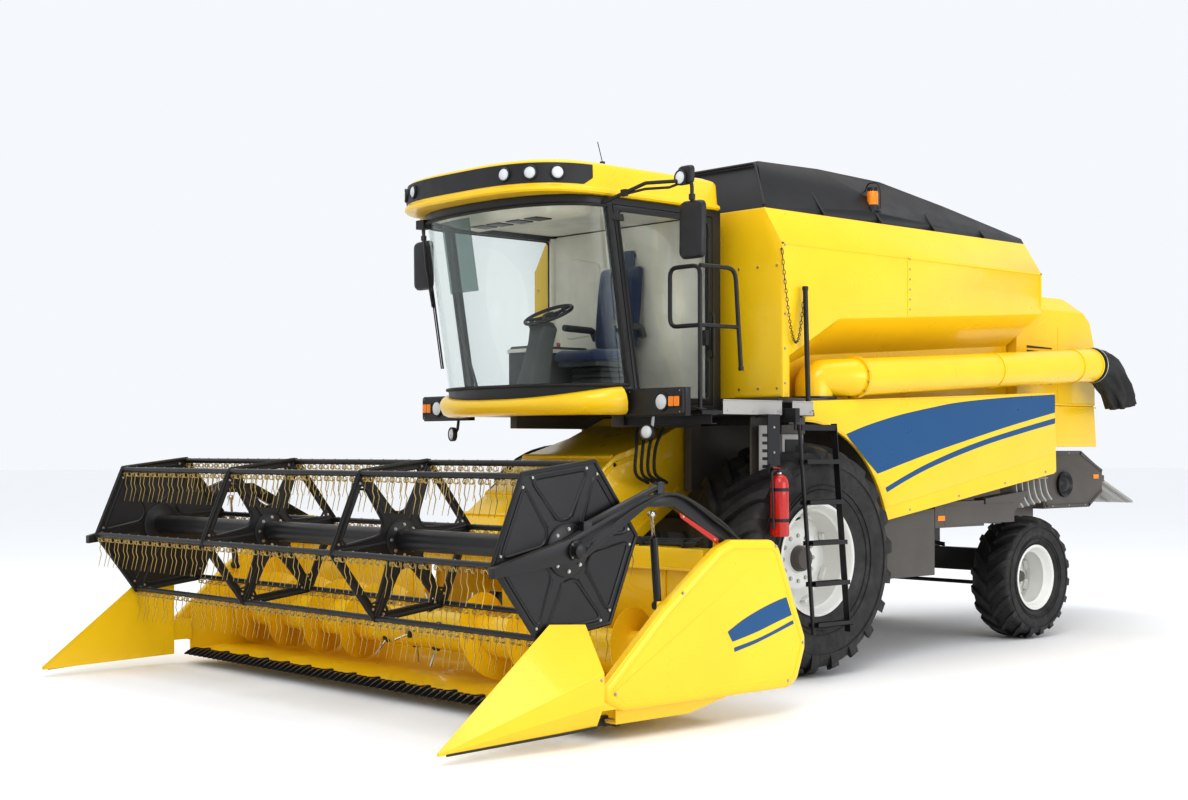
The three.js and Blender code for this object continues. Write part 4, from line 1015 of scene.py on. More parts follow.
def add_light_panels():
    """The square lamp housings under the cab's front corners."""
    for side, sign in SIDES:
        shape = Shape(PLASTIC)
        y = -1.455
        face = rounded([(0.945, 2.040), (1.575, 2.040), (1.575, 2.235), (1.00, 2.235), (0.945, 2.20)], 0.02, 3)
        smaller = [(x + (1.26 - x) * 0.02, z + (2.137 - z) * 0.06) for x, z in face]
        shape.loft([at_y(y + 0.012, face, sign), at_y(y - 0.018, face, sign), at_y(y - 0.024, smaller, sign)])
        add_round_lamp(shape, Vector((sign * 1.36, y - 0.022, 2.135)), Vector((0, -1, 0)), 0.062)
        shape.use(PLASTIC)
        shape.block(*span(sign, 1.435, 1.555), y - 0.032, y - 0.018, 2.095, 2.180)
        shape.use(AMBER)
        for x0, x1 in ((1.441, 1.492), (1.498, 1.549)):
            lens = rounded([(x0, 2.101), (x1, 2.101), (x1, 2.174), (x0, 2.174)], 0.008, 2)
            shape.loft([at_y(y - 0.030, lens, sign), at_y(y - 0.040, lens, sign)])
        shape.use(ZINC)
        for x, z in ((0.985, 2.06), (1.545, 2.06), (1.545, 2.215), (1.02, 2.215)):
            shape.bolt((sign * x, y - 0.022, z), (0, -1, 0), 0.006)
        shape.done(f"lamp_panel_{side}", "chassis", "black_plastic", bevel=0.003, angle=35)


def pad(x_half, y0, y1, z0, z1, crown, nx=15, ny=13):
    """A cushion as a closed quilted form: side bolsters, sewn channels and a pulled-in edge."""
    shape = Shape(CLOTH)
    top, low = [], []
    for j in range(ny + 1):
        v = 2 * j / ny - 1
        for i in range(nx + 1):
            u = 2 * i / nx - 1
            edge = (1 - u ** 6) * (1 - v ** 6)
            bolster = 0.55 + 0.45 * abs(u) ** 2.5 if abs(u) < 0.86 else 0.9
            channel = -0.12 * sum(math.exp(-((v - c) / 0.06) ** 2) for c in (-0.4, 0.1, 0.55))
            sew = -0.14 * math.exp(-((abs(u) - 0.62) / 0.05) ** 2)
            x = u * x_half * (1 - 0.035 * v * v)
            y = (y0 + y1) / 2 + v * (y1 - y0) / 2 * (1 - 0.03 * u * u)
            rise = crown * (edge ** 0.5 if edge > 0 else 0) * (bolster + channel + sew)
            top.append((x, y, z1 - crown + rise))
            low.append((x * 0.97, y, z0 + 0.01 * (1 - edge)))
    count = (nx + 1) * (ny + 1)
    faces = []
    for j in range(ny):
        for i in range(nx):
            a = j * (nx + 1) + i
            faces.append([a, a + 1, a + nx + 2, a + nx + 1])
            faces.append([count + a + nx + 1, count + a + nx + 2, count + a + 1, count + a])
    rim = list(range(nx + 1)) + [j * (nx + 1) + nx for j in range(1, ny + 1)]
    rim += [ny * (nx + 1) + i for i in range(nx - 1, -1, -1)] + [j * (nx + 1) for j in range(ny - 1, 0, -1)]
    for a, b in zip(rim, [*rim[1:], rim[0]]):
        faces.append([b, a, count + a, count + b])
    return shape.add([*top, *low], faces)


def add_seat():
    seat = pad(0.255, -1.145, -0.66, 2.49, 2.615, 0.055)
    cushion = seat.done("seat_cushion", "chassis", "seat_fabric", ["driver_seat"], subdivide=1)
    back = pad(0.245, -1.20, -0.50, 2.60, 2.72, 0.055)
    back.placed(Matrix.Translation((0, -0.62, 2.60)) @ Matrix.Rotation(math.radians(84), 4, "X")
                @ Matrix.Translation((0, 1.20, -2.60)))
    rest = back.done("seat_back", "chassis", "seat_fabric", subdivide=1)
    head = pad(0.14, -0.12, 0.12, 0, 0.075, 0.035, 9, 7)
    head.placed(Matrix.Translation((0, -0.555, 3.31)) @ Matrix.Rotation(math.radians(84), 4, "X"))
    top = head.done("seat_head_rest", "chassis", "seat_fabric", subdivide=1)
    base = Shape(TRIM)
    for k in range(6):
        z = 2.16 + 0.05 * k
        ring = rounded([(-0.19, -1.0), (0.19, -1.0), (0.19, -0.70), (-0.19, -0.70)], 0.04, 3)
        small = inset(ring, 0.018)
        base.loft([at_z(z, small), at_z(z + 0.012, ring), at_z(z + 0.030, ring), at_z(z + 0.05, small)])
    base.block(-0.17, 0.17, -0.99, -0.71, 2.12, 2.17)
    base.block(-0.23, 0.23, -1.10, -0.68, 2.455, 2.492)
    for s in (-1, 1):
        arm = bent_path([(s * 0.29, -0.62, 2.70), (s * 0.29, -0.66, 2.78), (s * 0.29, -0.98, 2.79)], 0.04)
        base.tube(arm, 0.028, 10)
        base.rod((s * 0.23, -0.62, 2.72), (s * 0.30, -0.62, 2.72), 0.02, 10)
    base.done("seat_suspension", "chassis", "cab_trim", bevel=0.004, angle=40)


def add_cab_fittings():
    """Floor, steering column and wheel, side console, levers and pedals."""
    shape = Shape(TRIM)
    floor = 2.123
    wheel_radius = 0.198
    mat = rounded([(-0.90, -1.40), (0.90, -1.40), (0.90, -0.53), (-0.90, -0.53)], 0.03, 3)
    shape.use(RUBBER)
    shape.prism_z(mat, floor, floor + 0.012)
    for k in range(22):
        y = -1.38 + 0.038 * k
        shape.block(-0.86, 0.86, y, y + 0.012, floor + 0.012, floor + 0.018)
    shape.prism_z([(x, y) for x, y, _ in cab_plan(-0.075, floor)], floor, floor + 0.014)
    shape.use(TRIM)
    foot, head = Vector((0, -1.60, floor)), Vector((0, -1.44, 2.80))
    rings = []
    sections = ((0, 0.16, 0.13), (0.08, 0.115, 0.115), (0.4, 0.085, 0.10), (0.75, 0.075, 0.085), (0.93, 0.095, 0.08),
                (1.0, 0.06, 0.06))
    for t, w, d in sections:
        mid = foot.lerp(head, t)
        outline = rounded([(-w, -d), (w, -d), (w, d), (-w, d)], 0.04, 4)
        rings.append([mid + Vector((x, y, -0.2 * y)) for x, y in outline])
    shape.loft(rings)
    hub, axis = Vector((0, -1.400, 2.86)), Vector((0, -0.42, 0.91)).normalized()
    shape.rod(head, hub, 0.03, 16)
    shape.use(PLASTIC)
    across = axis.orthogonal().normalized()
    side = axis.cross(across)
    wheel = [hub + (across * math.cos(a) + side * math.sin(a)) * wheel_radius for a in turns(40)]
    shape.tube(wheel, 0.014, 10, closed=True)
    for a in (20, 160, 270):
        a = math.radians(a)
        end = hub + (across * math.cos(a) + side * math.sin(a)) * wheel_radius
        shape.tube([hub - axis * 0.02, hub.lerp(end, 0.5) - axis * 0.012, end], [0.022, 0.014, 0.011], 8)
    shape.lathe(hub, axis, [(-0.02, 0), (-0.02, 0.05), (0.012, 0.045), (0.02, 0.0)], 24)
    knob = hub + (across * 0.7 - side * 0.7) * 0.19
    shape.rod(knob, knob + axis * 0.06, 0.016, 12)
    shape.use(TRIM)
    side_box = rounded([(-0.62, -1.32), (-0.31, -1.32), (-0.31, -0.66), (-0.62, -0.66)], 0.05, 4)
    foot_box = [(x * 0.98 - 0.01, y) for x, y in side_box]
    shape.loft([at_z(floor, foot_box), at_z(2.53, side_box), at_z(2.60, side_box), at_z(2.635, inset(side_box, 0.02))])
    shape.use(CREAM)
    shape.prism_z(inset(side_box, -0.012), 2.58, 2.612)
    shape.use(PLASTIC)
    shape.tube([(-0.42, -1.18, 2.62), (-0.42, -1.20, 2.74), (-0.42, -1.215, 2.80)], [0.012, 0.013, 0.026], 10)
    shape.tube([(-0.42, -1.215, 2.79), (-0.42, -1.22, 2.85)], [0.028, 0.020], 12)
    for y, top in ((-1.10, 2.70), (-0.94, 2.705)):
        shape.tube([(-0.52, y, 2.63), (-0.52, y, top)], [0.008, 0.016], 8)
    shape.use(RED)
    shape.tube([(-0.36, -0.98, 2.63), (-0.36, -0.98, 2.67)], 0.016, 12)
    shape.use(PLASTIC)
    for x, lean in ((-0.30, 0.03), (0.30, -0.03)):
        shape.tube([(x, -1.62, floor + 0.01), (x + lean, -1.72, floor + 0.12)], 0.012, 8)
        shape.block(x + lean - 0.05, x + lean + 0.05, -1.745, -1.705, floor + 0.09, floor + 0.16)
    lever = [(-0.72, -1.50, floor), (-0.74, -1.58, floor + 0.30), (-0.80, -1.66, floor + 0.62)]
    shape.tube(lever, [0.016, 0.010, 0.010], 8)
    shape.tube([(-0.80, -1.66, floor + 0.60), (-0.81, -1.67, floor + 0.67)], [0.018, 0.022], 10)
    shape.done("cab_fittings", "chassis", "cab_trim", ["cab_controls"], bevel=0.003, angle=40)


def add_cab_lining():
    """The lined rear wall, its posts, and the headlining with a console."""
    lining = Shape(CREAM)
    wall_y = CAB["rear"] - CAB["wall"] - 0.006
    outline = rounded([(-0.93, 2.15), (0.93, 2.15), (0.93, 3.63), (-0.93, 3.63)], 0.06, 4)
    lining.loft([at_y(wall_y, outline), at_y(wall_y - 0.03, outline), at_y(wall_y - 0.04, inset(outline, 0.02))])
    panel = rounded([(-0.78, 2.72), (-0.34, 2.75), (-0.30, 3.36), (-0.70, 3.44)], 0.09, 5)
    lining.loft([at_y(wall_y - 0.038, panel), at_y(wall_y - 0.052, inset(panel, 0.012)),
                 at_y(wall_y - 0.054, inset(panel, 0.03))])
    head = [(x, y) for x, y, _ in cab_plan(-0.060, 3.655)]
    lining.prism_z([*head, (-0.925, -0.520), (0.925, -0.520)], 3.640, 3.662)
    pod = rounded([(-0.62, -1.98), (0.62, -1.98), (0.72, -1.55), (-0.72, -1.55)], 0.08, 5)
    lining.loft([at_z(3.645, pod), [(x, y + 0.02, 3.585) for x, y in inset(pod, 0.02)],
                 [(x, y + 0.02, 3.565) for x, y in inset(pod, 0.06)]])
    lining.use(PLASTIC)
    for x in (-0.42, -0.22, 0.02, 0.24):
        lining.block(x, x + 0.15, -1.86, -1.70, 3.556, 3.568)
    lining.use(CREAM)
    for s in (-1, 1):
        lining.tube([(s * 0.925, CAB["rear"] - 0.09, z) for z in (2.15, 3.62)], 0.035, 10)
    lining.done("cab_lining", "chassis", "cab_trim", bevel=0.004, angle=40)


def add_cab():
    add_cab_front()
    add_wiper()
    add_roof()
    add_light_panels()
    add_seat()
    add_cab_fittings()
    add_cab_lining()


# ---- header ------------------------------------------------------------------------------
HEADER_HALF = 2.610
FILM = 0.0008
AUGER = {"y": -2.600, "z": 0.455, "radius": 0.304, "tube": 0.150, "pitch": 0.520, "inner": 0.520, "outer": 2.530}
KNIFE = {"half": 2.540, "low": 0.112, "high": 0.118}
GUARD_PITCH = 0.0762
GUARD_COUNT = int(2 * KNIFE["half"] / GUARD_PITCH)
SHIELD = [(-3.120, 0.185), (-3.290, 0.260), (-3.300, 0.345), (-2.780, 0.800), (-2.290, 1.150), (-2.150, 1.200),
          (-1.760, 1.185), (-1.690, 1.130), (-1.430, 0.520), (-1.430, 0.440), (-1.510, 0.230), (-1.600, 0.185)]


def film(shape, x, sign, upper, lower):
    """A thin coloured stripe on a side face, between two curves of [y, z] points drawn front to rear."""
    top = [(p.x, p.y) for p in smooth_path([(*q, 0) for q in upper], 8)]
    low = [(p.x, p.y) for p in smooth_path([(*q, 0) for q in lower], 8)]
    shape.prism_x([*top, *reversed(low)], *span(sign, x, x + FILM))


def ribbon(shape, path, width, x0, x1):
    """A narrow strip on a side face, along [y, z] points."""
    for a, b in zip(path, path[1:]):
        a, b = Vector(a), Vector(b)
        along = (b - a).normalized() * width / 2
        off = Vector((-along.y, along.x))
        shape.prism_x([a - along + off, b + along + off, b + along - off, a - along - off], x0, x1)


def add_header_ends():
    outline = rounded(SHIELD, 0.075, 5)
    levels = [(2.6226, 0.010), (2.630, 0.002), (2.662, 0.0), (2.680, 0.004), (2.691, 0.014), (2.6975, 0.032),
              (2.699, 0.056), (2.692, 0.064)]
    face = 2.6932
    for side, sign in SIDES:
        shield = Shape(YELLOW)
        shield.loft([at_x(sign * x, inset(outline, depth)) for x, depth in levels])
        shield.use(BLUE)
        film(shield, face, sign, [(-2.205, 0.605), (-2.06, 0.672), (-1.90, 0.728), (-1.74, 0.772), (-1.63, 0.795)],
             [(-2.160, 0.537), (-2.04, 0.560), (-1.90, 0.590), (-1.74, 0.632), (-1.575, 0.672)])
        film(shield, face, sign, [(-2.145, 0.497), (-1.96, 0.530), (-1.80, 0.568), (-1.565, 0.636)],
             [(-2.140, 0.470), (-1.96, 0.505), (-1.80, 0.545), (-1.555, 0.612)])
        shield.use(ZINC)
        places = ((-3.20, 0.30), (-2.62, 0.88), (-1.74, 1.14), (-1.47, 0.48), (-1.62, 0.235))
        shield.bolts(at_x(sign * 2.698, places), (sign, 0, 0), 0.009)
        shield.done(f"header_shield_{side}", "header", "yellow_paint", [f"header_end_{side}"], angle=28)

        nose = Shape(YELLOW)
        rings = [[(2.565, -4.452, 0.084), (2.578, -4.452, 0.070), (2.578, -4.452, 0.064), (2.570, -4.452, 0.061),
                  (2.547, -4.452, 0.061)],
                 [(2.547, -3.605, 0.742), (2.682, -3.605, 0.345), (2.684, -3.605, 0.205), (2.632, -3.605, 0.099),
                  (2.547, -3.605, 0.084)],
                 [(2.547, -3.314, 0.722), (2.718, -3.314, 0.440), (2.718, -3.314, 0.252), (2.650, -3.314, 0.113),
                  (2.547, -3.314, 0.092)]]
        nose.loft([on_side(sign, ring) for ring in rings])
        nose.block(*span(sign, 2.562, 2.676), -3.325, -3.142, 0.205, 0.375)
        nose.use(BLACK)
        nose.tube(on_side(sign, [(2.576, -4.40, 0.062), (2.632, -3.605, 0.093), (2.652, -3.32, 0.107)]), 0.009, 8)
        nose.use(ZINC)
        nose.bolts([(sign * 2.704, -3.36, 0.30), (sign * 2.716, -3.335, 0.40)], (sign, 0, 0), 0.009)
        nose.done(f"crop_divider_{side}", "header", "yellow_paint", bevel=0.007, angle=20)


def add_header_auger():
    shape = Shape(YELLOW)
    y0, z0 = AUGER["y"], AUGER["z"]
    end = HEADER_HALF - 0.060
    shape.rod((-end, y0, z0), (end, y0, z0), AUGER["tube"], 48)
    shape.rod((-HEADER_HALF + 0.001, y0, z0), (HEADER_HALF - 0.001, y0, z0), 0.035, 20)
    steps = 36
    sheet = 0.0025
    for start, finish, hand in ((AUGER["inner"], AUGER["outer"], 1), (-AUGER["outer"], -AUGER["inner"], -1)):
        count = round(steps * (finish - start) / AUGER["pitch"])
        rings = []
        for k in range(count + 1):
            x = start + (finish - start) * k / count
            a = hand * 2 * math.pi * (x - start) / AUGER["pitch"]
            c, q = math.cos(a), math.sin(a)
            section = ((0.140, -sheet), (AUGER["radius"], -sheet), (AUGER["radius"], sheet), (0.140, sheet))
            rings.append([(x + dx, y0 + r * c, z0 + r * q) for r, dx in section])
        shape.loft(rings)
    shape.use(STEEL)
    guides = []
    for k in range(14):
        x = -0.46 + 0.92 * k / 13
        a = math.radians(90 + 137.5 * k)
        out = Vector((0, math.cos(a), math.sin(a)))
        axis = Vector((x, y0, z0))
        shape.tube([axis + out * 0.145, axis + out * 0.285, axis + out * 0.292], [0.0085, 0.0085, 0.005], 10)
        guides.append((axis, out))
    shape.use(PLASTIC)
    for axis, out in guides:
        shape.tube([axis + out * 0.146, axis + out * 0.160, axis + out * 0.163], [0.034, 0.030, 0.016], 12)
        for dx in (0.024, -0.024):
            shape.bolt(axis + out * 0.158 + Vector((dx, 0, 0)), out, 0.005)
    shape.done("header_auger_skin", "header_auger", "yellow_paint", ["header_auger"], angle=35)


def upright(x, y, low_half, low, high_half, high):
    """A standing four-sided section of half widths low_half at its foot and high_half at its top."""
    return [(x - low_half, y, low), (x + low_half, y, low), (x + high_half, y, high), (x - high_half, y, high)]


def guard_place(steps):
    """Where along the knife a number of guard steps from its end comes."""
    half = KNIFE["half"]
    return -half + GUARD_PITCH * steps + (2 * half - GUARD_COUNT * GUARD_PITCH) / 2


def add_knife():
    teeth = Shape(STEEL)
    half = KNIFE["half"]
    teeth.block(-half, half, -3.074, -3.052, KNIFE["low"] + 0.0002, KNIFE["high"])
    for k in range(GUARD_COUNT):
        x = guard_place(k + 0.5)
        tooth = [(x - 0.036, -3.072), (x + 0.036, -3.072), (x + 0.036, -3.088),
                 (x + 0.007, -3.129), (x - 0.007, -3.129), (x - 0.036, -3.088)]
        teeth.prism_z(tooth, KNIFE["low"] + 0.0004, KNIFE["low"] + 0.0038)
    teeth.done("knife_sections", "knife", "rod_steel", ["knife"], angle=30)


def add_guards():
    guards = Shape(BLACK)
    half = KNIFE["half"]
    sections = ((-3.137, 0.015, 0.086, 0.137), (-3.160, 0.014, 0.084, 0.134), (-3.205, 0.009, 0.083, 0.114),
                (-3.238, 0.003, 0.086, 0.096))
    for k in range(GUARD_COUNT + 1):
        x = guard_place(k)
        if abs(x) > HEADER_HALF - 0.085:
            continue
        rings = []
        for y, w, z0, z1 in sections:
            rings.append([(x + dx, y, z) for dx, z in ((-w, z0), (w, z0), (w * 0.8, z1), (-w * 0.8, z1))])
        guards.loft(rings)
        guards.block(x - 0.017, x + 0.017, -3.139, -3.055, 0.078, 0.0992)
        guards.loft([upright(x, -3.139, 0.008, 0.124, 0.006, 0.137), upright(x, -3.100, 0.006, 0.124, 0.005, 0.131)])
    guards.block(-half, half, -3.060, -3.018, 0.070, 0.0990)
    guards.done("knife_guards", "header", "black_paint", bevel=0.0015, segments=1, angle=50)


def add_knife_clips():
    clips = Shape(BLACK)
    places = [-2.44 + 4.88 * k / 16 for k in range(17)]
    for x in places:
        clips.loft([upright(x, -3.045, 0.02, 0.1119, 0.02, 0.130), upright(x, -3.098, 0.016, 0.1255, 0.016, 0.131)])
    clips.use(ZINC)
    clips.bolts([(x, -3.052, 0.129) for x in places], (0, 0, 1), 0.006)
    clips.done("knife_clips", "header", "black_paint", angle=40)


def add_header_stiffeners():
    frame_parts = Shape(YELLOW)
    back = AUGER["y"] + AUGER["radius"] + 0.021
    for x in (-2.2, -1.6, -1.0, -0.62, 0.62, 1.0, 1.6, 2.2):
        frame_parts.block(x - 0.004, x + 0.004, back - 0.012, back - 0.0005, 0.52, 0.985)
    frame_parts.block(-2.58, 2.58, back - 0.030, back - 0.0005, 0.985, 1.005)
    for sign in (-1, 1):
        knuckle = [(-2.085, 0.94), (-1.985, 0.94), (-1.975, 1.10), (-2.085, 1.10)]
        frame_parts.prism_x(knuckle, *span(sign, 2.30, 2.31))
    frame_parts.done("header_stiffeners", "header", "yellow_paint", bevel=0.002, segments=1)


def add_header_hoses():
    hoses = Shape(RUBBER)
    for k in range(3):
        z = 1.150 + 0.012 * k
        y = -2.20 + 0.030 * k
        path = [(0.60 + 0.05 * k, y + 0.03, z), (1.4, y, z + 0.012), (2.1, y, z), (2.44, y - 0.02, z + 0.02)]
        hoses.tube(smooth_path(path, 8), 0.011, 8)
    hoses.use(PLASTIC)
    for x in (0.9, 1.4, 1.9, 2.3):
        hoses.block(x - 0.012, x + 0.012, -2.225, -2.115, 1.1305, 1.192)
    hoses.done("header_hoses", "header", "black_plastic", angle=60)


def add_reel_stops():
    """The red bars that hold the reel arms up for service."""
    for side, sign in SIDES:
        stop = Shape(RED)
        stop.prism_x([(-2.560, 1.385), (-2.545, 1.350), (-2.210, 1.168), (-2.195, 1.203)],
                     *span(sign, 2.6004, 2.6084))
        stop.use(ZINC)
        stop.bolts([(sign * 2.6084, y, z) for y, z in ((-2.525, 1.357), (-2.235, 1.199))], (sign, 0, 0), 0.007)
        stop.done(f"reel_safety_stop_{side}", "reel_arms", "red_paint", bevel=0.003)


def add_reel_motor():
    motor = Shape(BLACK)
    y0, z0 = REEL["y"], REEL["z"]
    casing = [(0, 0.034), (0, 0.060), (0.012, 0.062), (0.014, 0.048), (0.055, 0.048), (0.060, 0.040), (0.062, 0.0),
              (0.0005, 0.0)]
    motor.lathe((2.6035, y0, z0), (1, 0, 0), casing, 32)
    motor.use(RUBBER)
    for k in (0, 1):
        path = [(2.655, y0 + 0.02, z0 + 0.03 - 0.05 * k), (2.675, y0 + 0.16, z0 + 0.10), (2.640, y0 + 0.55, z0 + 0.27),
                (2.618, y0 + 0.86, z0 + 0.32), (2.618, y0 + 1.25, z0 + 0.12 + 0.02 * k), (2.618, y0 + 1.40, z0 + 0.03)]
        motor.tube(smooth_path(path), 0.010, 8)
    motor.use(ZINC)
    for k in range(4):
        a = math.radians(45 + 90 * k)
        motor.bolt((2.616, y0 + 0.053 * math.cos(a), z0 + 0.053 * math.sin(a)), (1, 0, 0), 0.006)
    motor.done("reel_motor_and_hoses", "reel_arms", "black_paint", angle=45)


def add_feeder_ribs():
    shape = Shape(YELLOW)
    low, high = Vector((-2.095, 1.062)), Vector((-1.180, 1.742))
    along = (high - low).normalized()
    up = Vector((-along.y, along.x))
    for t in (0.06, 0.30, 0.54, 0.78, 0.97):
        a = low.lerp(high, t)
        foot, head, tall = along * 0.018, along * 0.014, up * 0.022
        corners = [a - foot, a + foot, a + head + tall, a - head + tall]
        shape.prism_x(corners, -0.535, 0.535)
    for sign in (-1, 1):
        x0, x1 = span(sign, 0.5452, 0.556)
        ribbon(shape, [(-2.08, 1.02), (-1.20, 1.665), (-0.72, 1.80)], 0.035, x0, x1)
        ribbon(shape, [(-2.08, 0.40), (-1.40, 0.86), (-0.50, 1.46)], 0.035, x0, x1)
        for y, z0, z1 in ((-1.78, 0.66, 1.19), (-1.42, 0.88, 1.46)):
            ribbon(shape, [(y, z0), (y, z1)], 0.030, x0, x1)
    shape.use(ZINC)
    for sign in (-1, 1):
        shape.bolts([(sign * 0.556, y, 1.02 + (y + 2.08) * 0.733) for y in (-1.98, -1.70, -1.45)], (sign, 0, 0), 0.010)
    shape.use(BLACK)
    drive_cover = [(0, 0.0), (0, 0.115), (0.012, 0.118), (0.05, 0.118), (0.055, 0.100), (0.020, 0.070), (0.060, 0.045),
                   (0.062, 0.0)]
    for sign in (-1, 1):
        shape.lathe((sign * 0.558, -1.62, 1.12), (sign, 0, 0), drive_cover, 36)
    shape.done("feeder_ribs", "header", "yellow_paint", bevel=0.003, segments=1, angle=35)


def add_header():
    add_header_ends()
    add_header_auger()
    add_knife()
    add_guards()
    add_knife_clips()
    add_header_stiffeners()
    add_header_hoses()
    add_reel_stops()
    add_reel_motor()
    add_feeder_ribs()


# ---- body --------------------------------------------------------------------------------
PANEL = {"inner": 1.4455, "arch": 1.080, "front": -0.020, "rear": 3.570}
TUBE = {"pivot": (1.270, 0.350), "x": 1.455, "z": 2.370, "radius": 0.155, "flange": 0.630, "end": 4.216, "rise": 0.059}


def side_panel_outline(gap=0.0):
    start = math.degrees(math.asin((1.190 - FRONT_WHEEL["radius"]) / PANEL["arch"]))
    end = math.degrees(math.acos(PANEL["front"] / PANEL["arch"]))
    arch = arc((0, FRONT_WHEEL["radius"]), PANEL["arch"] + gap, start, end, 36)
    corners = [(PANEL["front"], 2.164), (PANEL["rear"], 2.308), (3.588, 1.570), (3.550, 1.550)]
    return [*corners, *arch]


PANEL_STRIPES = (
    ([(0.500, 1.905), (0.800, 1.985), (1.209, 2.069), (1.650, 2.137), (2.060, 2.190), (2.800, 2.247), (3.555, 2.287)],
     [(0.905, 1.580), (1.020, 1.606), (1.209, 1.652), (1.650, 1.752), (2.060, 1.838), (2.800, 1.985), (3.555, 2.120)]),
    ([(1.010, 1.463), (1.310, 1.570), (1.623, 1.668), (2.060, 1.782), (2.509, 1.880), (3.050, 1.980), (3.555, 2.068)],
     [(1.030, 1.425), (1.310, 1.525), (1.623, 1.622), (2.060, 1.733), (2.509, 1.832), (3.050, 1.932), (3.555, 2.018)]),
)


def add_side_panels():
    """Hinged side doors: a folded rim, a raised field above the lower edge and the stripes."""
    face = 1.4798
    outline = side_panel_outline()
    upper = [(PANEL["front"] + 0.012, 2.152), (PANEL["rear"] - 0.012, 2.296), (3.572, 1.742), (1.075, 1.303)]
    upper += arc((0, FRONT_WHEEL["radius"]), PANEL["arch"] + 0.012, 20, 90, 32)
    for side, sign in SIDES:
        panel = Shape(YELLOW)
        for form, levels in ((outline, ((PANEL["inner"], 0.001), (1.466, 0.0), (1.472, 0.003), (1.474, 0.008))),
                             (upper, ((1.473, 0.0), (1.4775, 0.004), (1.4795, 0.010)))):
            panel.loft([at_x(sign * x, inset(form, depth)) for x, depth in levels])
        panel.use(ZINC)
        panel.bolts([(sign * 1.474, y, 1.185 + (y - 1.046) * 0.1438 + 0.045) for y in (1.35, 2.05, 2.75, 3.40)],
                    (sign, 0, 0), 0.009)
        panel.use(BLUE)
        for upper_edge, lower_edge in PANEL_STRIPES:
            film(panel, face, sign, upper_edge, lower_edge)
        panel.done(f"side_door_{side}", f"side_panel_{side}", "yellow_paint", [f"side_panel_{side}"], angle=25)


def add_tank_seams():
    shape = Shape(YELLOW)
    for sign in (-1, 1):
        x0, x1 = span(sign, 1.4795, 1.4832)
        ribbon(shape, [(1.325, 3.395), (1.325, 2.915)], 0.010, x0, x1)
        ribbon(shape, [(-0.272, 3.392), (3.332, 3.392)], 0.012, x0, x1)
        ribbon(shape, [(-0.268, 2.20), (-0.268, 3.39)], 0.020, x0, x1)
        ribbon(shape, [(3.328, 3.09), (3.328, 3.39)], 0.020, x0, x1)
    shape.block(-1.47, -0.99, -0.284, -0.2803, 2.20, 2.215)
    shape.block(0.99, 1.47, -0.284, -0.2803, 2.20, 2.215)
    shape.use(ZINC)
    for sign in (-1, 1):
        shape.bolts([(sign * 1.4812, 1.352, 2.96 + 0.085 * k) for k in range(6)], (sign, 0, 0), 0.007)
        shape.bolts([(sign * 1.4812, -0.245, 2.30 + 0.27 * k) for k in range(5)], (sign, 0, 0), 0.008)
        shape.bolts([(sign * (1.03 + 0.2 * k), -0.281, z) for k in range(3) for z in (2.26, 3.22)], (0, -1, 0), 0.008)
    shape.done("tank_seams", "chassis", "yellow_paint", angle=40)


def add_tank_ribs():
    rim = Shape(BLACK)
    for y in (0.45, 1.20, 1.95, 2.70):
        top = 4.128 - max(0.0, (y - 1.1)) ** 1.6 * 0.125
        half = 1.295 - (top - 3.69) * 0.62
        for sign in (-1, 1):
            rim.tube([(sign * 1.2985, y, 3.70), (sign * (half + 0.004), y, top - 0.05)], 0.011, 6)
    front = [(-1.28, -0.262, 3.71), (-1.03, -0.09, 4.09), (1.03, -0.09, 4.09), (1.28, -0.262, 3.71)]
    rim.tube(bent_path(front, 0.05), 0.012, 8)
    rim.done("tank_extension_ribs", "chassis", "black_paint", angle=40)


def add_beacon():
    beacon = Shape(PLASTIC)
    x, y = 1.190, 1.220
    foot = [(0, 0.0), (0, 0.062), (0.045, 0.062), (0.055, 0.052), (0.055, 0.0)]
    beacon.lathe((x, y, 3.805), (0, 0, 1), foot, 24)
    bow = ((-1, -0.2), (-1, 0.55), (-0.6, 0.95), (0.6, 0.95), (1, 0.55), (1, -0.2))
    beacon.tube(bent_path([(x + 0.085 * c, y, 3.86 + 0.20 * h) for c, h in bow], 0.05), 0.006, 8)
    beacon.use(AMBER)
    dome = [(0, 0.0), (0, 0.049), (0.10, 0.048), (0.135, 0.040), (0.155, 0.022), (0.158, 0.0)]
    beacon.lathe((x, y, 3.858), (0, 0, 1), dome, 28)
    beacon.done("warning_beacon", "chassis", "amber_lens", angle=40)


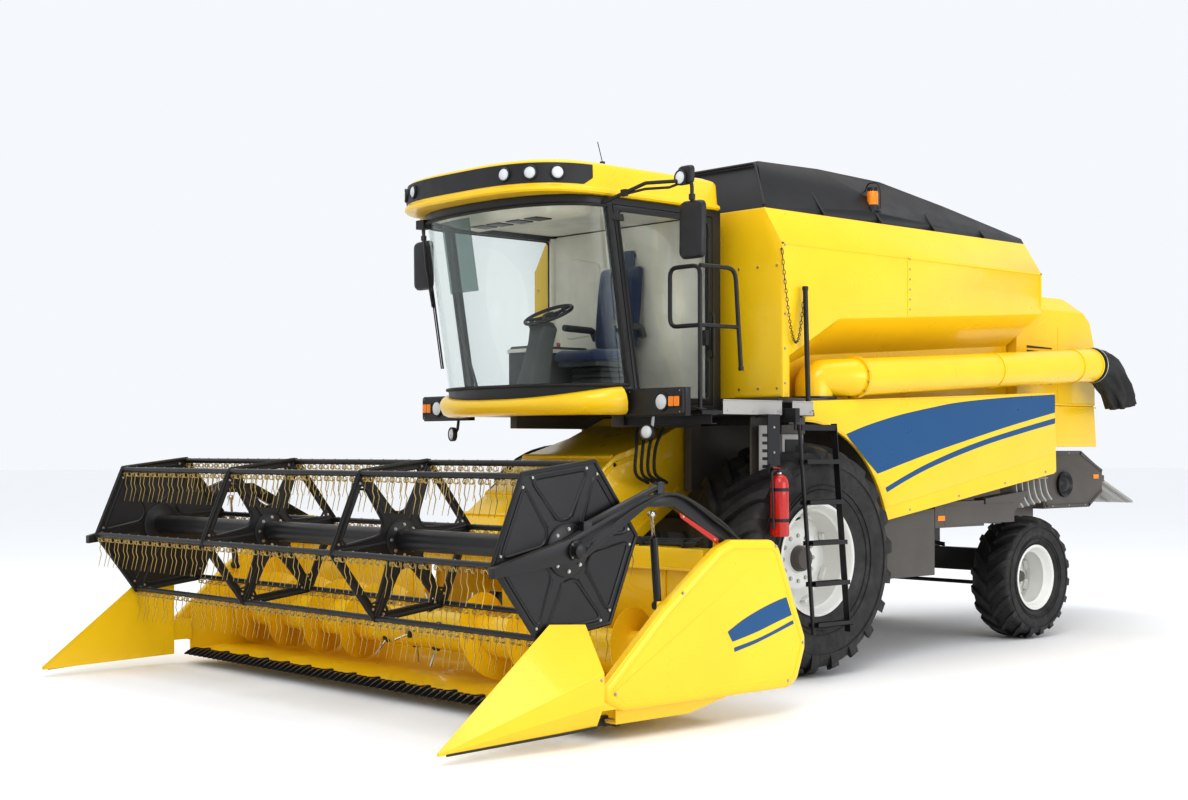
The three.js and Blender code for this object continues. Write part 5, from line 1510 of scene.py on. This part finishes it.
def add_unloading_tube():
    px, py = TUBE["pivot"]
    x, z, r, flange, end, rise = (TUBE[k] for k in ("x", "z", "radius", "flange", "end", "rise"))
    shape = Shape(YELLOW)
    elbow = [(px, py, 2.192), (px, py, z - 0.01), (x, flange, z), (x, flange + 0.12, z + 0.12 * rise)]
    shape.tube(bent_path(elbow, 0.16, 8), r, 40)
    shape.tube([(x, flange, z), (x, end, z + rise * (end - flange))], r, 40)
    along = Vector((0, 1, rise)).normalized()
    bands = ((flange - 0.006, 0.173, 0.013), (flange + 0.011, 0.173, 0.013), (2.55, 0.163, 0.010),
             (3.86, 0.164, 0.016), (end - 0.035, 0.163, 0.012))
    for y, radius, width in bands:
        place = Vector((x, y, z + rise * (y - flange)))
        shape.lathe(place, along, [(0, 0.150), (0, radius), (width, radius), (width, 0.150)], 48)
    shape.use(ZINC)
    for k in range(12):
        a = math.radians(30 * k + 15)
        out = Vector((math.cos(a), 0, math.sin(a))) * 0.1645
        for y, way in ((flange - 0.006, -1), (flange + 0.024, 1)):
            shape.bolt(Vector((x, y, z + rise * (y - flange))) + out, (0, way, 0), 0.0075)
    shape.use(BLACK)
    shape.lathe((px, py, 2.1915), (0, 0, 1), [(0, 0.12), (0, 0.185), (0.018, 0.185), (0.018, 0.12)], 40)
    shape.done("unloading_auger_tube", "unloader", "yellow_paint", ["unloading_tube"], angle=35)


def add_unloading_sleeve():
    """A wrinkled rubber sleeve that turns the grain down."""
    spout = Shape(RUBBER)
    x, z, flange, end, rise = (TUBE[k] for k in ("x", "z", "flange", "end", "rise"))
    top = Vector((x, end + 0.012, z + rise * (end - flange)))
    stations = [(0.000, 0.000, 0.162, 0.162, 0.000), (0.050, 0.002, 0.163, 0.163, 0.004),
                (0.130, 0.000, 0.160, 0.158, 0.010), (0.230, -0.035, 0.150, 0.160, 0.018),
                (0.340, -0.110, 0.140, 0.170, 0.026), (0.440, -0.205, 0.128, 0.172, 0.030),
                (0.510, -0.300, 0.118, 0.165, 0.032), (0.545, -0.390, 0.112, 0.150, 0.034)]
    rings = []
    last = len(stations) - 1
    for k, (dy, dz, wide, tall, fold) in enumerate(stations):
        middle = top + Vector((0, dy, dz))
        lean = math.radians(78) * (k / last) ** 1.15
        ring = []
        for a in turns(64):
            crumple = fold * (math.cos(7 * a + 0.8 * k) * 0.6 + math.cos(11 * a - 0.5 * k) * 0.4)
            u, v = (wide + crumple) * math.cos(a), (tall + crumple) * math.sin(a)
            ring.append(middle + Vector((u, v * math.sin(lean), v * math.cos(lean))))
        rings.append(ring)
    inner = [[middle_of(ring).lerp(p, 0.94) for p in ring] for ring in rings[1:]]
    spout.loft([*rings, *reversed(inner)])
    spout.use(ZINC)
    clamp_radius = 0.1655
    clamp = [top + Vector((clamp_radius * math.cos(a), 0.025, clamp_radius * math.sin(a))) for a in turns(48)]
    spout.tube(clamp, 0.006, 6, closed=True)
    spout.done("unloading_sleeve", "unloader", "spout_rubber", ["unloading_spout"], angle=60)


def middle_of(points):
    return sum((Vector(p) for p in points), Vector()) / len(points)


def add_mirrors():
    for side, sign in SIDES:
        arm = Shape(PLASTIC)
        upper = [(0.955, -1.720, 3.610), (1.300, -1.580, 3.742), (1.622, -1.425, 3.742), (1.622, -1.425, 3.59)]
        arm.tube(bent_path(on_side(sign, upper), 0.05), 0.014, 10)
        lower = [(1.02, -1.690, 3.650), (1.29, -1.575, 3.70), (1.46, -1.495, 3.700), (1.56, -1.447, 3.735)]
        arm.tube(bent_path(on_side(sign, lower), 0.04), 0.010, 8)
        arm.block(*span(sign, 1.12, 1.17), -1.665, -1.635, 3.655, 3.705)
        arm.rod((sign * 1.622, -1.425, 3.60), (sign * 1.622, -1.425, 3.64), 0.024, 16)
        outline = rounded([(1.503, 3.172), (1.741, 3.172), (1.748, 3.59), (1.510, 3.597)], 0.05, 5)
        levels = ((-1.402, 0.97), (-1.408, 1.0), (-1.425, 1.0), (-1.445, 0.94), (-1.456, 0.80), (-1.4605, 0.55))
        arm.loft([at_y(y, shrunk(outline, size), sign) for y, size in levels])
        arm.use(MIRROR)
        arm.loft([at_y(y, shrunk(outline, 0.92), sign) for y in (-1.402, -1.3995)])
        arm.use(PLASTIC)
        # a lamp in its own housing on the arm
        housing = rounded([(1.490, 3.715), (1.640, 3.715), (1.645, 3.855), (1.495, 3.855)], 0.04, 5)
        levels = ((-1.415, 0.96), (-1.420, 1.0), (-1.435, 0.98), (-1.452, 0.85), (-1.457, 0.60))
        arm.loft([at_y(y, shrunk(housing, size), sign) for y, size in levels])
        add_round_lamp(arm, Vector((sign * 1.545, -1.462, 3.765)), Vector((0, -1, 0)), 0.050)
        arm.done(f"mirror_parts_{side}", "chassis", "mirror_face", [f"mirror_{side}"], angle=35)


def add_platform():
    """The driver's platform: ribbed deck, hand rails, post, kick plates and brackets."""
    shape = Shape(BLACK)
    shape.block(1.002, 1.598, -1.298, -0.032, 2.042, 2.072)
    for k in range(10):
        y = -1.27 + 0.128 * k
        shape.block(1.03, 1.57, y, y + 0.045, 2.072, 2.0795)
    for y in (-1.200, -0.340):
        for depth, z0, z1 in ((0.008, 1.972, 2.044), (0.058, 1.972, 1.980), (0.058, 2.036, 2.044)):
            shape.block(0.662, 1.598, y, y + depth, z0, z1)
    front_rail = at_y(-1.280, [(1.560, 2.060), (1.560, 3.140), (1.250, 3.140), (1.250, 2.700), (1.560, 2.700)])
    shape.tube(bent_path(front_rail, 0.07), 0.0165, 12)
    shape.tube(bent_path([(1.560, -1.280, 3.140), (1.570, -0.910, 3.140), (1.580, -0.860, 2.390)], 0.09), 0.0165, 12)
    shape.tube([(1.560, -1.280, 2.700), (1.574, -0.875, 2.700)], 0.0155, 12)
    shape.tube([(1.580, -0.860, 2.405), (1.581, -0.857, 2.375)], 0.021, 12)
    shape.tube(bent_path([(1.560, -0.060, 2.060), (1.530, -0.060, 3.050)], 0.05), 0.0195, 12)
    shape.rod((1.530, -0.060, 3.03), (1.530, -0.060, 3.062), 0.024, 16)
    shape.block(1.580, 1.724, -0.405, -0.355, 1.991, 2.098)
    shape.block(1.582, 1.706, -0.698, -0.562, 2.024, 2.048)
    shape.block(1.6955, 1.7065, -0.699, -0.561, 1.662, 2.048)
    shape.block(1.696, 1.7145, -0.688, -0.602, 1.612, 1.678)
    foot = [(0, 0.0), (0, 0.045), (0.008, 0.045), (0.012, 0.022), (0.012, 0.0)]
    for y in (-1.280, -0.060):
        shape.lathe((1.560, y, 2.0795), (0, 0, 1), foot, 20)
    shape.use(PALE)
    for x0, x1, z0, z1 in ((1.599, 1.603, 2.046, 2.155), (1.5995, 1.607, 2.148, 2.157)):
        for y0, y1 in ((-1.08, -0.42), (-0.30, -0.05)):
            shape.block(x0, x1, y0, y1, z0, z1)
    shape.use(ZINC)
    shape.bolts([(1.603, y, 2.075) for y in (-1.03, -0.75, -0.47, -0.26, -0.09)], (1, 0, 0), 0.007)
    shape.bolts([(1.7065, -0.63, z) for z in (1.76, 1.95)], (1, 0, 0), 0.008)
    shape.done("platform_and_rails", "chassis", "black_paint", ["operator_platform"], bevel=0.002, segments=1, angle=40)


def add_side_boxes():
    plate = Shape(PALE)
    plate.block(1.500, 1.506, -0.575, -0.335, 1.585, 1.968)
    plate.use(BLACK)
    for k in range(5):
        plate.block(1.5058, 1.5068, -0.54, -0.37, 1.64 + 0.06 * k, 1.664 + 0.06 * k)
    plate.use(PALE)
    plate.block(1.30, 1.500, -0.30, -0.055, 1.69, 1.90)
    plate.use(GREY)
    plate.block(1.25, 1.49, -0.30, -0.02, 1.905, 2.035)
    plate.block(1.43, 1.445, -0.60, -0.05, 1.56, 2.035)
    plate.use(PLASTIC)
    plate.block(1.5002, 1.512, -0.27, -0.09, 1.73, 1.86)
    plate.done("side_boxes", "chassis", "pale_paint", bevel=0.004, segments=2)


def add_chain():
    """A chain from the tank's corner to the platform's post, hanging lowest past its middle."""
    chain = Shape(BLACK)
    start, end = Vector((1.500, -0.300, 3.34)), Vector((1.534, -0.084, 2.98))
    links = 46
    sag = 0.62
    points = []
    for k in range(links + 1):
        t = k / links
        points.append(start.lerp(end, t) - Vector((0, 0, sag * 4 * t * (1 - t) * (0.62 + 0.38 * t))))
    for k, (a, b) in enumerate(zip(points, points[1:])):
        axis = (b - a).normalized()
        off = axis.orthogonal().normalized()
        off = (off * math.cos(k * math.pi / 2) + axis.cross(off) * math.sin(k * math.pi / 2)) * 0.008
        long = axis * ((b - a).length * 0.62)
        mid = (a + b) / 2
        loop = [mid - long, mid - long * 0.55 + off, mid + long * 0.55 + off, mid + long, mid + long * 0.55 - off,
                mid - long * 0.55 - off]
        chain.tube(loop, 0.003, 5, closed=True)
    chain.rod(start + Vector((-0.030, 0.022, 0.004)), start + Vector((0.006, -0.006, 0.004)), 0.006, 10)
    chain.done("platform_chain", "chassis", "black_paint", angle=50)


LADDER = {"top": (1.715, 1.985), "bottom": (1.850, 0.370), "front": -0.350, "rear": 0.060, "steps": 5, "pitch": 0.310}


def add_ladder():
    (x1, z1), (x0, z0) = LADDER["top"], LADDER["bottom"]

    def at(z):
        return x1 + (z1 - z) * (x0 - x1) / (z1 - z0)
    shape = Shape(BLACK)
    front, rear = LADDER["front"], LADDER["rear"]
    shape.tube(bent_path([(at(0.375), front, 0.375), (at(1.97), front, 1.97)], 0.05), 0.0165, 12)
    edge = [(at(z) + dx, z) for z, dx in ((0.372, -0.028), (0.372, 0.028), (1.983, 0.028), (1.983, -0.028))]
    shape.loft([at_y(rear - 0.005, edge), at_y(rear + 0.005, edge)])
    shape.block(1.688, 1.742, front, rear, 1.927, 1.973)
    shape.rod((1.700, -0.380, 1.930), (1.700, -0.380, 1.9895), 0.0122, 16)
    shape.block(1.687, 1.713, -0.380, front, 1.940, 1.978)
    for k in range(LADDER["steps"]):
        z = z0 + 0.060 + LADDER["pitch"] * k
        x = at(z)
        shape.block(x - 0.045, x + 0.055, front, rear, z, z + 0.006)
        shape.block(x - 0.045, x - 0.040, front, rear, z, z + 0.034)
        shape.block(x + 0.050, x + 0.055, front, rear, z, z + 0.034)
        for j in range(9):
            y = front + 0.03 + j * 0.040
            shape.block(x - 0.041, x + 0.051, y, y + 0.006, z + 0.005, z + 0.0345)
    shape.use(ZINC)
    for k in range(LADDER["steps"]):
        z = z0 + 0.078 + LADDER["pitch"] * k
        shape.bolts([(at(z) - 0.012, rear + 0.005, z), (at(z) + 0.016, rear + 0.005, z)], (0, 1, 0), 0.006)
    shape.done("boarding_ladder", "ladder", "black_paint", ["ladder"], bevel=0.001, segments=1, angle=40)


def add_extinguisher():
    x, y = 1.775, -0.650
    shape = Shape(RED)
    bottle = [(0, 0.0), (0, 0.066), (0.012, 0.0715), (0.385, 0.0715), (0.420, 0.066), (0.448, 0.050), (0.464, 0.028),
              (0.470, 0.0)]
    shape.lathe((x, y, 1.131), (0, 0, 1), bottle, 36)
    shape.use(STEEL)
    shape.rod((x, y, 1.595), (x, y, 1.620), 0.018, 16)
    shape.use(PLASTIC)
    shape.block(x - 0.020, x + 0.020, y - 0.028, y + 0.024, 1.612, 1.634)
    hose = [(x, y - 0.02, 1.622), (x, y - 0.085, 1.622), (x + 0.012, y - 0.086, 1.40), (x + 0.012, y - 0.082, 1.235)]
    shape.tube(bent_path(hose, 0.04), 0.0085, 8)
    shape.tube([(x + 0.012, y - 0.082, 1.26), (x + 0.012, y - 0.081, 1.20)], [0.010, 0.016], 10)
    shape.use(RED)
    shape.tube([(x, y + 0.01, 1.640), (x, y - 0.07, 1.6485)], 0.0055, 8)
    shape.tube([(x, y + 0.01, 1.628), (x, y - 0.065, 1.624)], 0.0055, 8)
    shape.use(BLACK)
    for z in (1.24, 1.47):
        shape.lathe((x, y, z), (0, 0, 1), [(0, 0.0705), (0, 0.0735), (0.024, 0.0735), (0.024, 0.0705)], 36)
    shape.block(1.7153, 1.735, y - 0.02, y + 0.02, 1.612, 1.648)
    shape.done("fire_extinguisher_parts", "chassis", "red_paint", ["fire_extinguisher"], angle=40)


def add_lockers_and_vanes():
    """Boxes, reflectors and guide vanes along the lower sides."""
    shape = Shape(GREY)
    for sign in (-1, 1):
        shape.block(*span(sign, 1.30, 1.428), 1.765, 2.49, 1.10, 1.325)
        wedge = [(2.52, 1.15), (2.96, 1.20), (3.19, 1.385), (3.19, 1.40), (2.52, 1.34)]
        shape.prism_x(wedge, *span(sign, 1.30, 1.425))
        shape.block(*span(sign, 1.4405, 1.4435), 1.02, 1.72, 1.245, 1.262)
    shape.use(PALE)
    for sign in (-1, 1):
        for k in range(6):
            y = 3.03 + 0.095 * k
            z = 1.49 + 0.012 * k
            curve = [Vector((0, y, z)), Vector((0, y + 0.012, z - 0.10)), Vector((0, y + 0.05, z - 0.19)),
                     Vector((0, y + 0.115, z - 0.25))]
            smooth = smooth_path(curve, 4)
            ring = [(p.y, p.z) for p in smooth] + [(p.y + 0.016, p.z + 0.010) for p in reversed(smooth)]
            shape.prism_x(ring, *span(sign, 1.225, 1.40))
        shape.block(*span(sign, 1.225, 1.40), 3.03, 3.56, 1.505, 1.515)
    shape.use(BLACK)
    for sign in (-1, 1):
        shape.block(*span(sign, 0.60, 1.28), 3.30, 3.34, 1.44, 1.50)
    shape.use(AMBER)
    for sign in (-1, 1):
        shape.block(*span(sign, 1.4282, 1.4342), 1.80, 1.90, 1.16, 1.205)
        shape.block(*span(sign, 0.7502, 0.756), 5.42, 5.52, 1.47, 1.515)
    shape.done("side_lockers_and_vanes", "chassis", "frame_paint", bevel=0.004, segments=2)


def add_chopper_details():
    tail = Shape(GREY)
    for sign in (-1, 1):
        x0, x1 = span(sign, 0.7503, 0.756)
        ribbon(tail, [(4.52, 1.735), (5.17, 1.735), (5.58, 1.555)], 0.024, x0, x1)
        ribbon(tail, [(4.52, 1.205), (5.34, 1.205), (5.58, 1.34)], 0.024, x0, x1)
        ribbon(tail, [(4.55, 1.21), (4.55, 1.73)], 0.024, x0, x1)
    tail.use(ZINC)
    for sign in (-1, 1):
        tail.bolts([(sign * 0.756, y, z) for y in (4.65, 4.95, 5.25) for z in (1.205, 1.735) if y < 5.2 or z < 1.5],
                   (sign, 0, 0), 0.008)
    tail.use(BLACK)
    rotor_cover = [(0, 0.0), (0, 0.13), (0.03, 0.13), (0.036, 0.115), (0.012, 0.085), (0.04, 0.045), (0.042, 0.0)]
    for sign in (-1, 1):
        tail.lathe((sign * 0.7505, 4.86, 1.42), (sign, 0, 0), rotor_cover, 36)
    tail.done("chopper_details", "chassis", "frame_paint", angle=35)


def add_deflector_vanes():
    flap = Shape(PALE)
    (y0, z0), (y1, z1) = (5.612, 1.470), (6.270, 1.200)
    rise = (z0 - z1) / (y0 - y1)
    drops = ((5.66, 0.016), (6.25, 0.004), (6.25, 0.010), (6.05, 0.055), (5.70, 0.060))
    under = [(y, z0 + (y - y0) * rise - drop) for y, drop in drops]
    for k in range(7):
        x = -0.66 + 0.22 * k
        flap.prism_x(under, x - 0.003, x + 0.003)
    flap.done("deflector_vanes", "straw_deflector", "pale_paint", angle=35)


def add_under_cab_lamps():
    """Round lamps on stalks under the cab, and the hoses beside the feeder house."""
    lamp = Shape(PLASTIC)
    for sign in (-1, 1):
        stalk = at_x(sign * 1.18, [(-1.39, 2.03), (-1.40, 1.96), (-1.42, 1.93)])
        lamp.tube(bent_path(stalk, 0.03), 0.012, 8)
        add_round_lamp(lamp, Vector((sign * 1.18, -1.455, 1.915)), Vector((sign * 0.25, -1, 0)), 0.052)
    lamp.use(RUBBER)
    for k in range(4):
        y = -1.10 + 0.07 * k
        hose = [(0.70 + 0.03 * k, y, 1.955), (0.78, y - 0.08, 1.80), (0.74, y - 0.05, 1.60), (0.672, y + 0.15, 1.52)]
        lamp.tube(smooth_path(hose), 0.013, 8)
    lamp.done("under_cab_lamps", "chassis", "black_plastic", angle=45)


def add_hood_details():
    shape = Shape(YELLOW)
    for sign in (-1, 1):
        x0, x1 = span(sign, 1.1995, 1.2035)
        ribbon(shape, [(3.40, 2.215), (4.69, 2.215)], 0.016, x0, x1)
        ribbon(shape, [(4.05, 2.23), (4.05, 2.95)], 0.008, x0, x1)
        ribbon(shape, [(3.62, 2.185), (4.74, 2.185)], 0.012, *span(sign, 1.1902, 1.194))
    shape.use(PLASTIC)
    for sign in (-1, 1):
        for k in range(9):
            z = 2.40 + 0.042 * k
            x0, x1 = span(sign, 1.2002, 1.206)
            shape.prism_x([(3.52, z), (3.94, z), (3.94, z + 0.012), (3.52, z + 0.022)], x0, x1)
    for k in range(12):
        z = 2.32 + 0.034 * k
        shape.block(-0.62, 0.62, 4.7095, 4.722, z, z + 0.014)
    rear_lamp = ((PLASTIC, 0.80, 1.12, 4.709, 4.728, 2.36, 2.47), (RED_LENS, 0.97, 1.11, 4.727, 4.732, 2.37, 2.46),
                 (AMBER, 0.81, 0.95, 4.727, 4.732, 2.37, 2.46))
    for material, x0, x1, *rest in rear_lamp:
        shape.use(material)
        for sign in (-1, 1):
            shape.block(*span(sign, x0, x1), *rest)
    shape.done("hood_details", "chassis", "yellow_paint", bevel=0.002, segments=1, angle=35)


def add_axle_details():
    """Bolts and cooling ribs on the front hubs, and two hoses along the rear axle."""
    axle = Shape(BLACK)
    height = FRONT_WHEEL["radius"]
    bolt_ring, rib = 0.20, 0.246
    for sign in (-1, 1):
        hub = Vector((sign * 0.862, 0, height))
        for a in turns(12):
            axle.bolt(hub + Vector((0, bolt_ring * math.cos(a), bolt_ring * math.sin(a))), (sign, 0, 0), 0.012)
        for k in range(4):
            x0, x1 = span(sign, 0.735 + 0.03 * k, 0.745 + 0.03 * k)
            profile = [(0, bolt_ring), (0, rib), (x1 - x0, rib), (x1 - x0, bolt_ring)]
            axle.lathe((x0, 0, height), (1, 0, 0), profile, 40)
    axle.use(RUBBER)
    for k in range(2):
        hose = [(-0.50, 3.46, 0.83 + 0.03 * k), (-0.1, 3.45, 0.90), (0.3, 3.46, 0.84 + 0.02 * k)]
        axle.tube(smooth_path(hose), 0.011, 8)
    axle.done("axle_details", "chassis", "black_paint", angle=40)


def add_body():
    add_side_panels()
    add_tank_seams()
    add_tank_ribs()
    add_beacon()
    add_unloading_tube()
    add_unloading_sleeve()
    add_mirrors()
    add_platform()
    add_side_boxes()
    add_chain()
    add_ladder()
    add_extinguisher()
    add_lockers_and_vanes()
    add_chopper_details()
    add_deflector_vanes()
    add_under_cab_lamps()
    add_hood_details()
    add_axle_details()


def dress_cad_nodes():
    plain_nodes = {
        "chassis_frame": (GREY, 0.005), "threshing_body": (GREY, 0.005), "straw_hood": (YELLOW, 0.010),
        "engine_hood": (YELLOW, 0.012), "engine_block": (GREY, 0.01), "chopper_housing": (GREY, 0.008),
        "grain_tank": (YELLOW, 0.008), "tank_extension": (BLACK, 0.004), "front_axle": (BLACK, 0.006),
        "rear_axle": (BLACK, 0.005), "cab_shell": (BLACK, 0.005), "cab_roof": (YELLOW, 0.02),
        "windshield": (GLASS, 0), "side_window_right": (GLASS, 0), "door_glass": (GLASS, 0),
        "driver_seat": (CLOTH, 0.01), "cab_controls": (TRIM, 0.006), "operator_platform": (BLACK, 0.003),
        "mirror_left": (PLASTIC, 0.006), "mirror_right": (PLASTIC, 0.006), "fire_extinguisher": (RED, 0.01),
        "knuckle_left": (BLACK, 0.005), "knuckle_right": (BLACK, 0.005), "tie_rod": (BLACK, 0.001),
        "feeder_house": (YELLOW, 0.008), "header_frame": (YELLOW, 0.003), "header_end_left": (YELLOW, 0.02),
        "header_end_right": (YELLOW, 0.02), "lift_cylinders": (BLACK, 0.003), "lift_pistons": (STEEL, 0),
        "header_auger": (YELLOW, 0.0), "knife": (STEEL, 0.001), "unloading_tube": (YELLOW, 0.003),
        "unloading_spout": (RUBBER, 0.02), "cab_door": (BLACK, 0.004), "ladder": (BLACK, 0.002),
        "side_panel_left": (YELLOW, 0.006), "side_panel_right": (YELLOW, 0.006), "straw_deflector": (PALE, 0.003),
    }
    for node, (material, bevel) in plain_nodes.items():
        if not NODES[node].hide_render:
            dress(node, material, bevel)


add_camera()
add_studio()
add_wheels()
add_reel()
add_tine_bars()
add_reel_arms()
add_cab()
add_header()
add_body()
dress_cad_nodes()
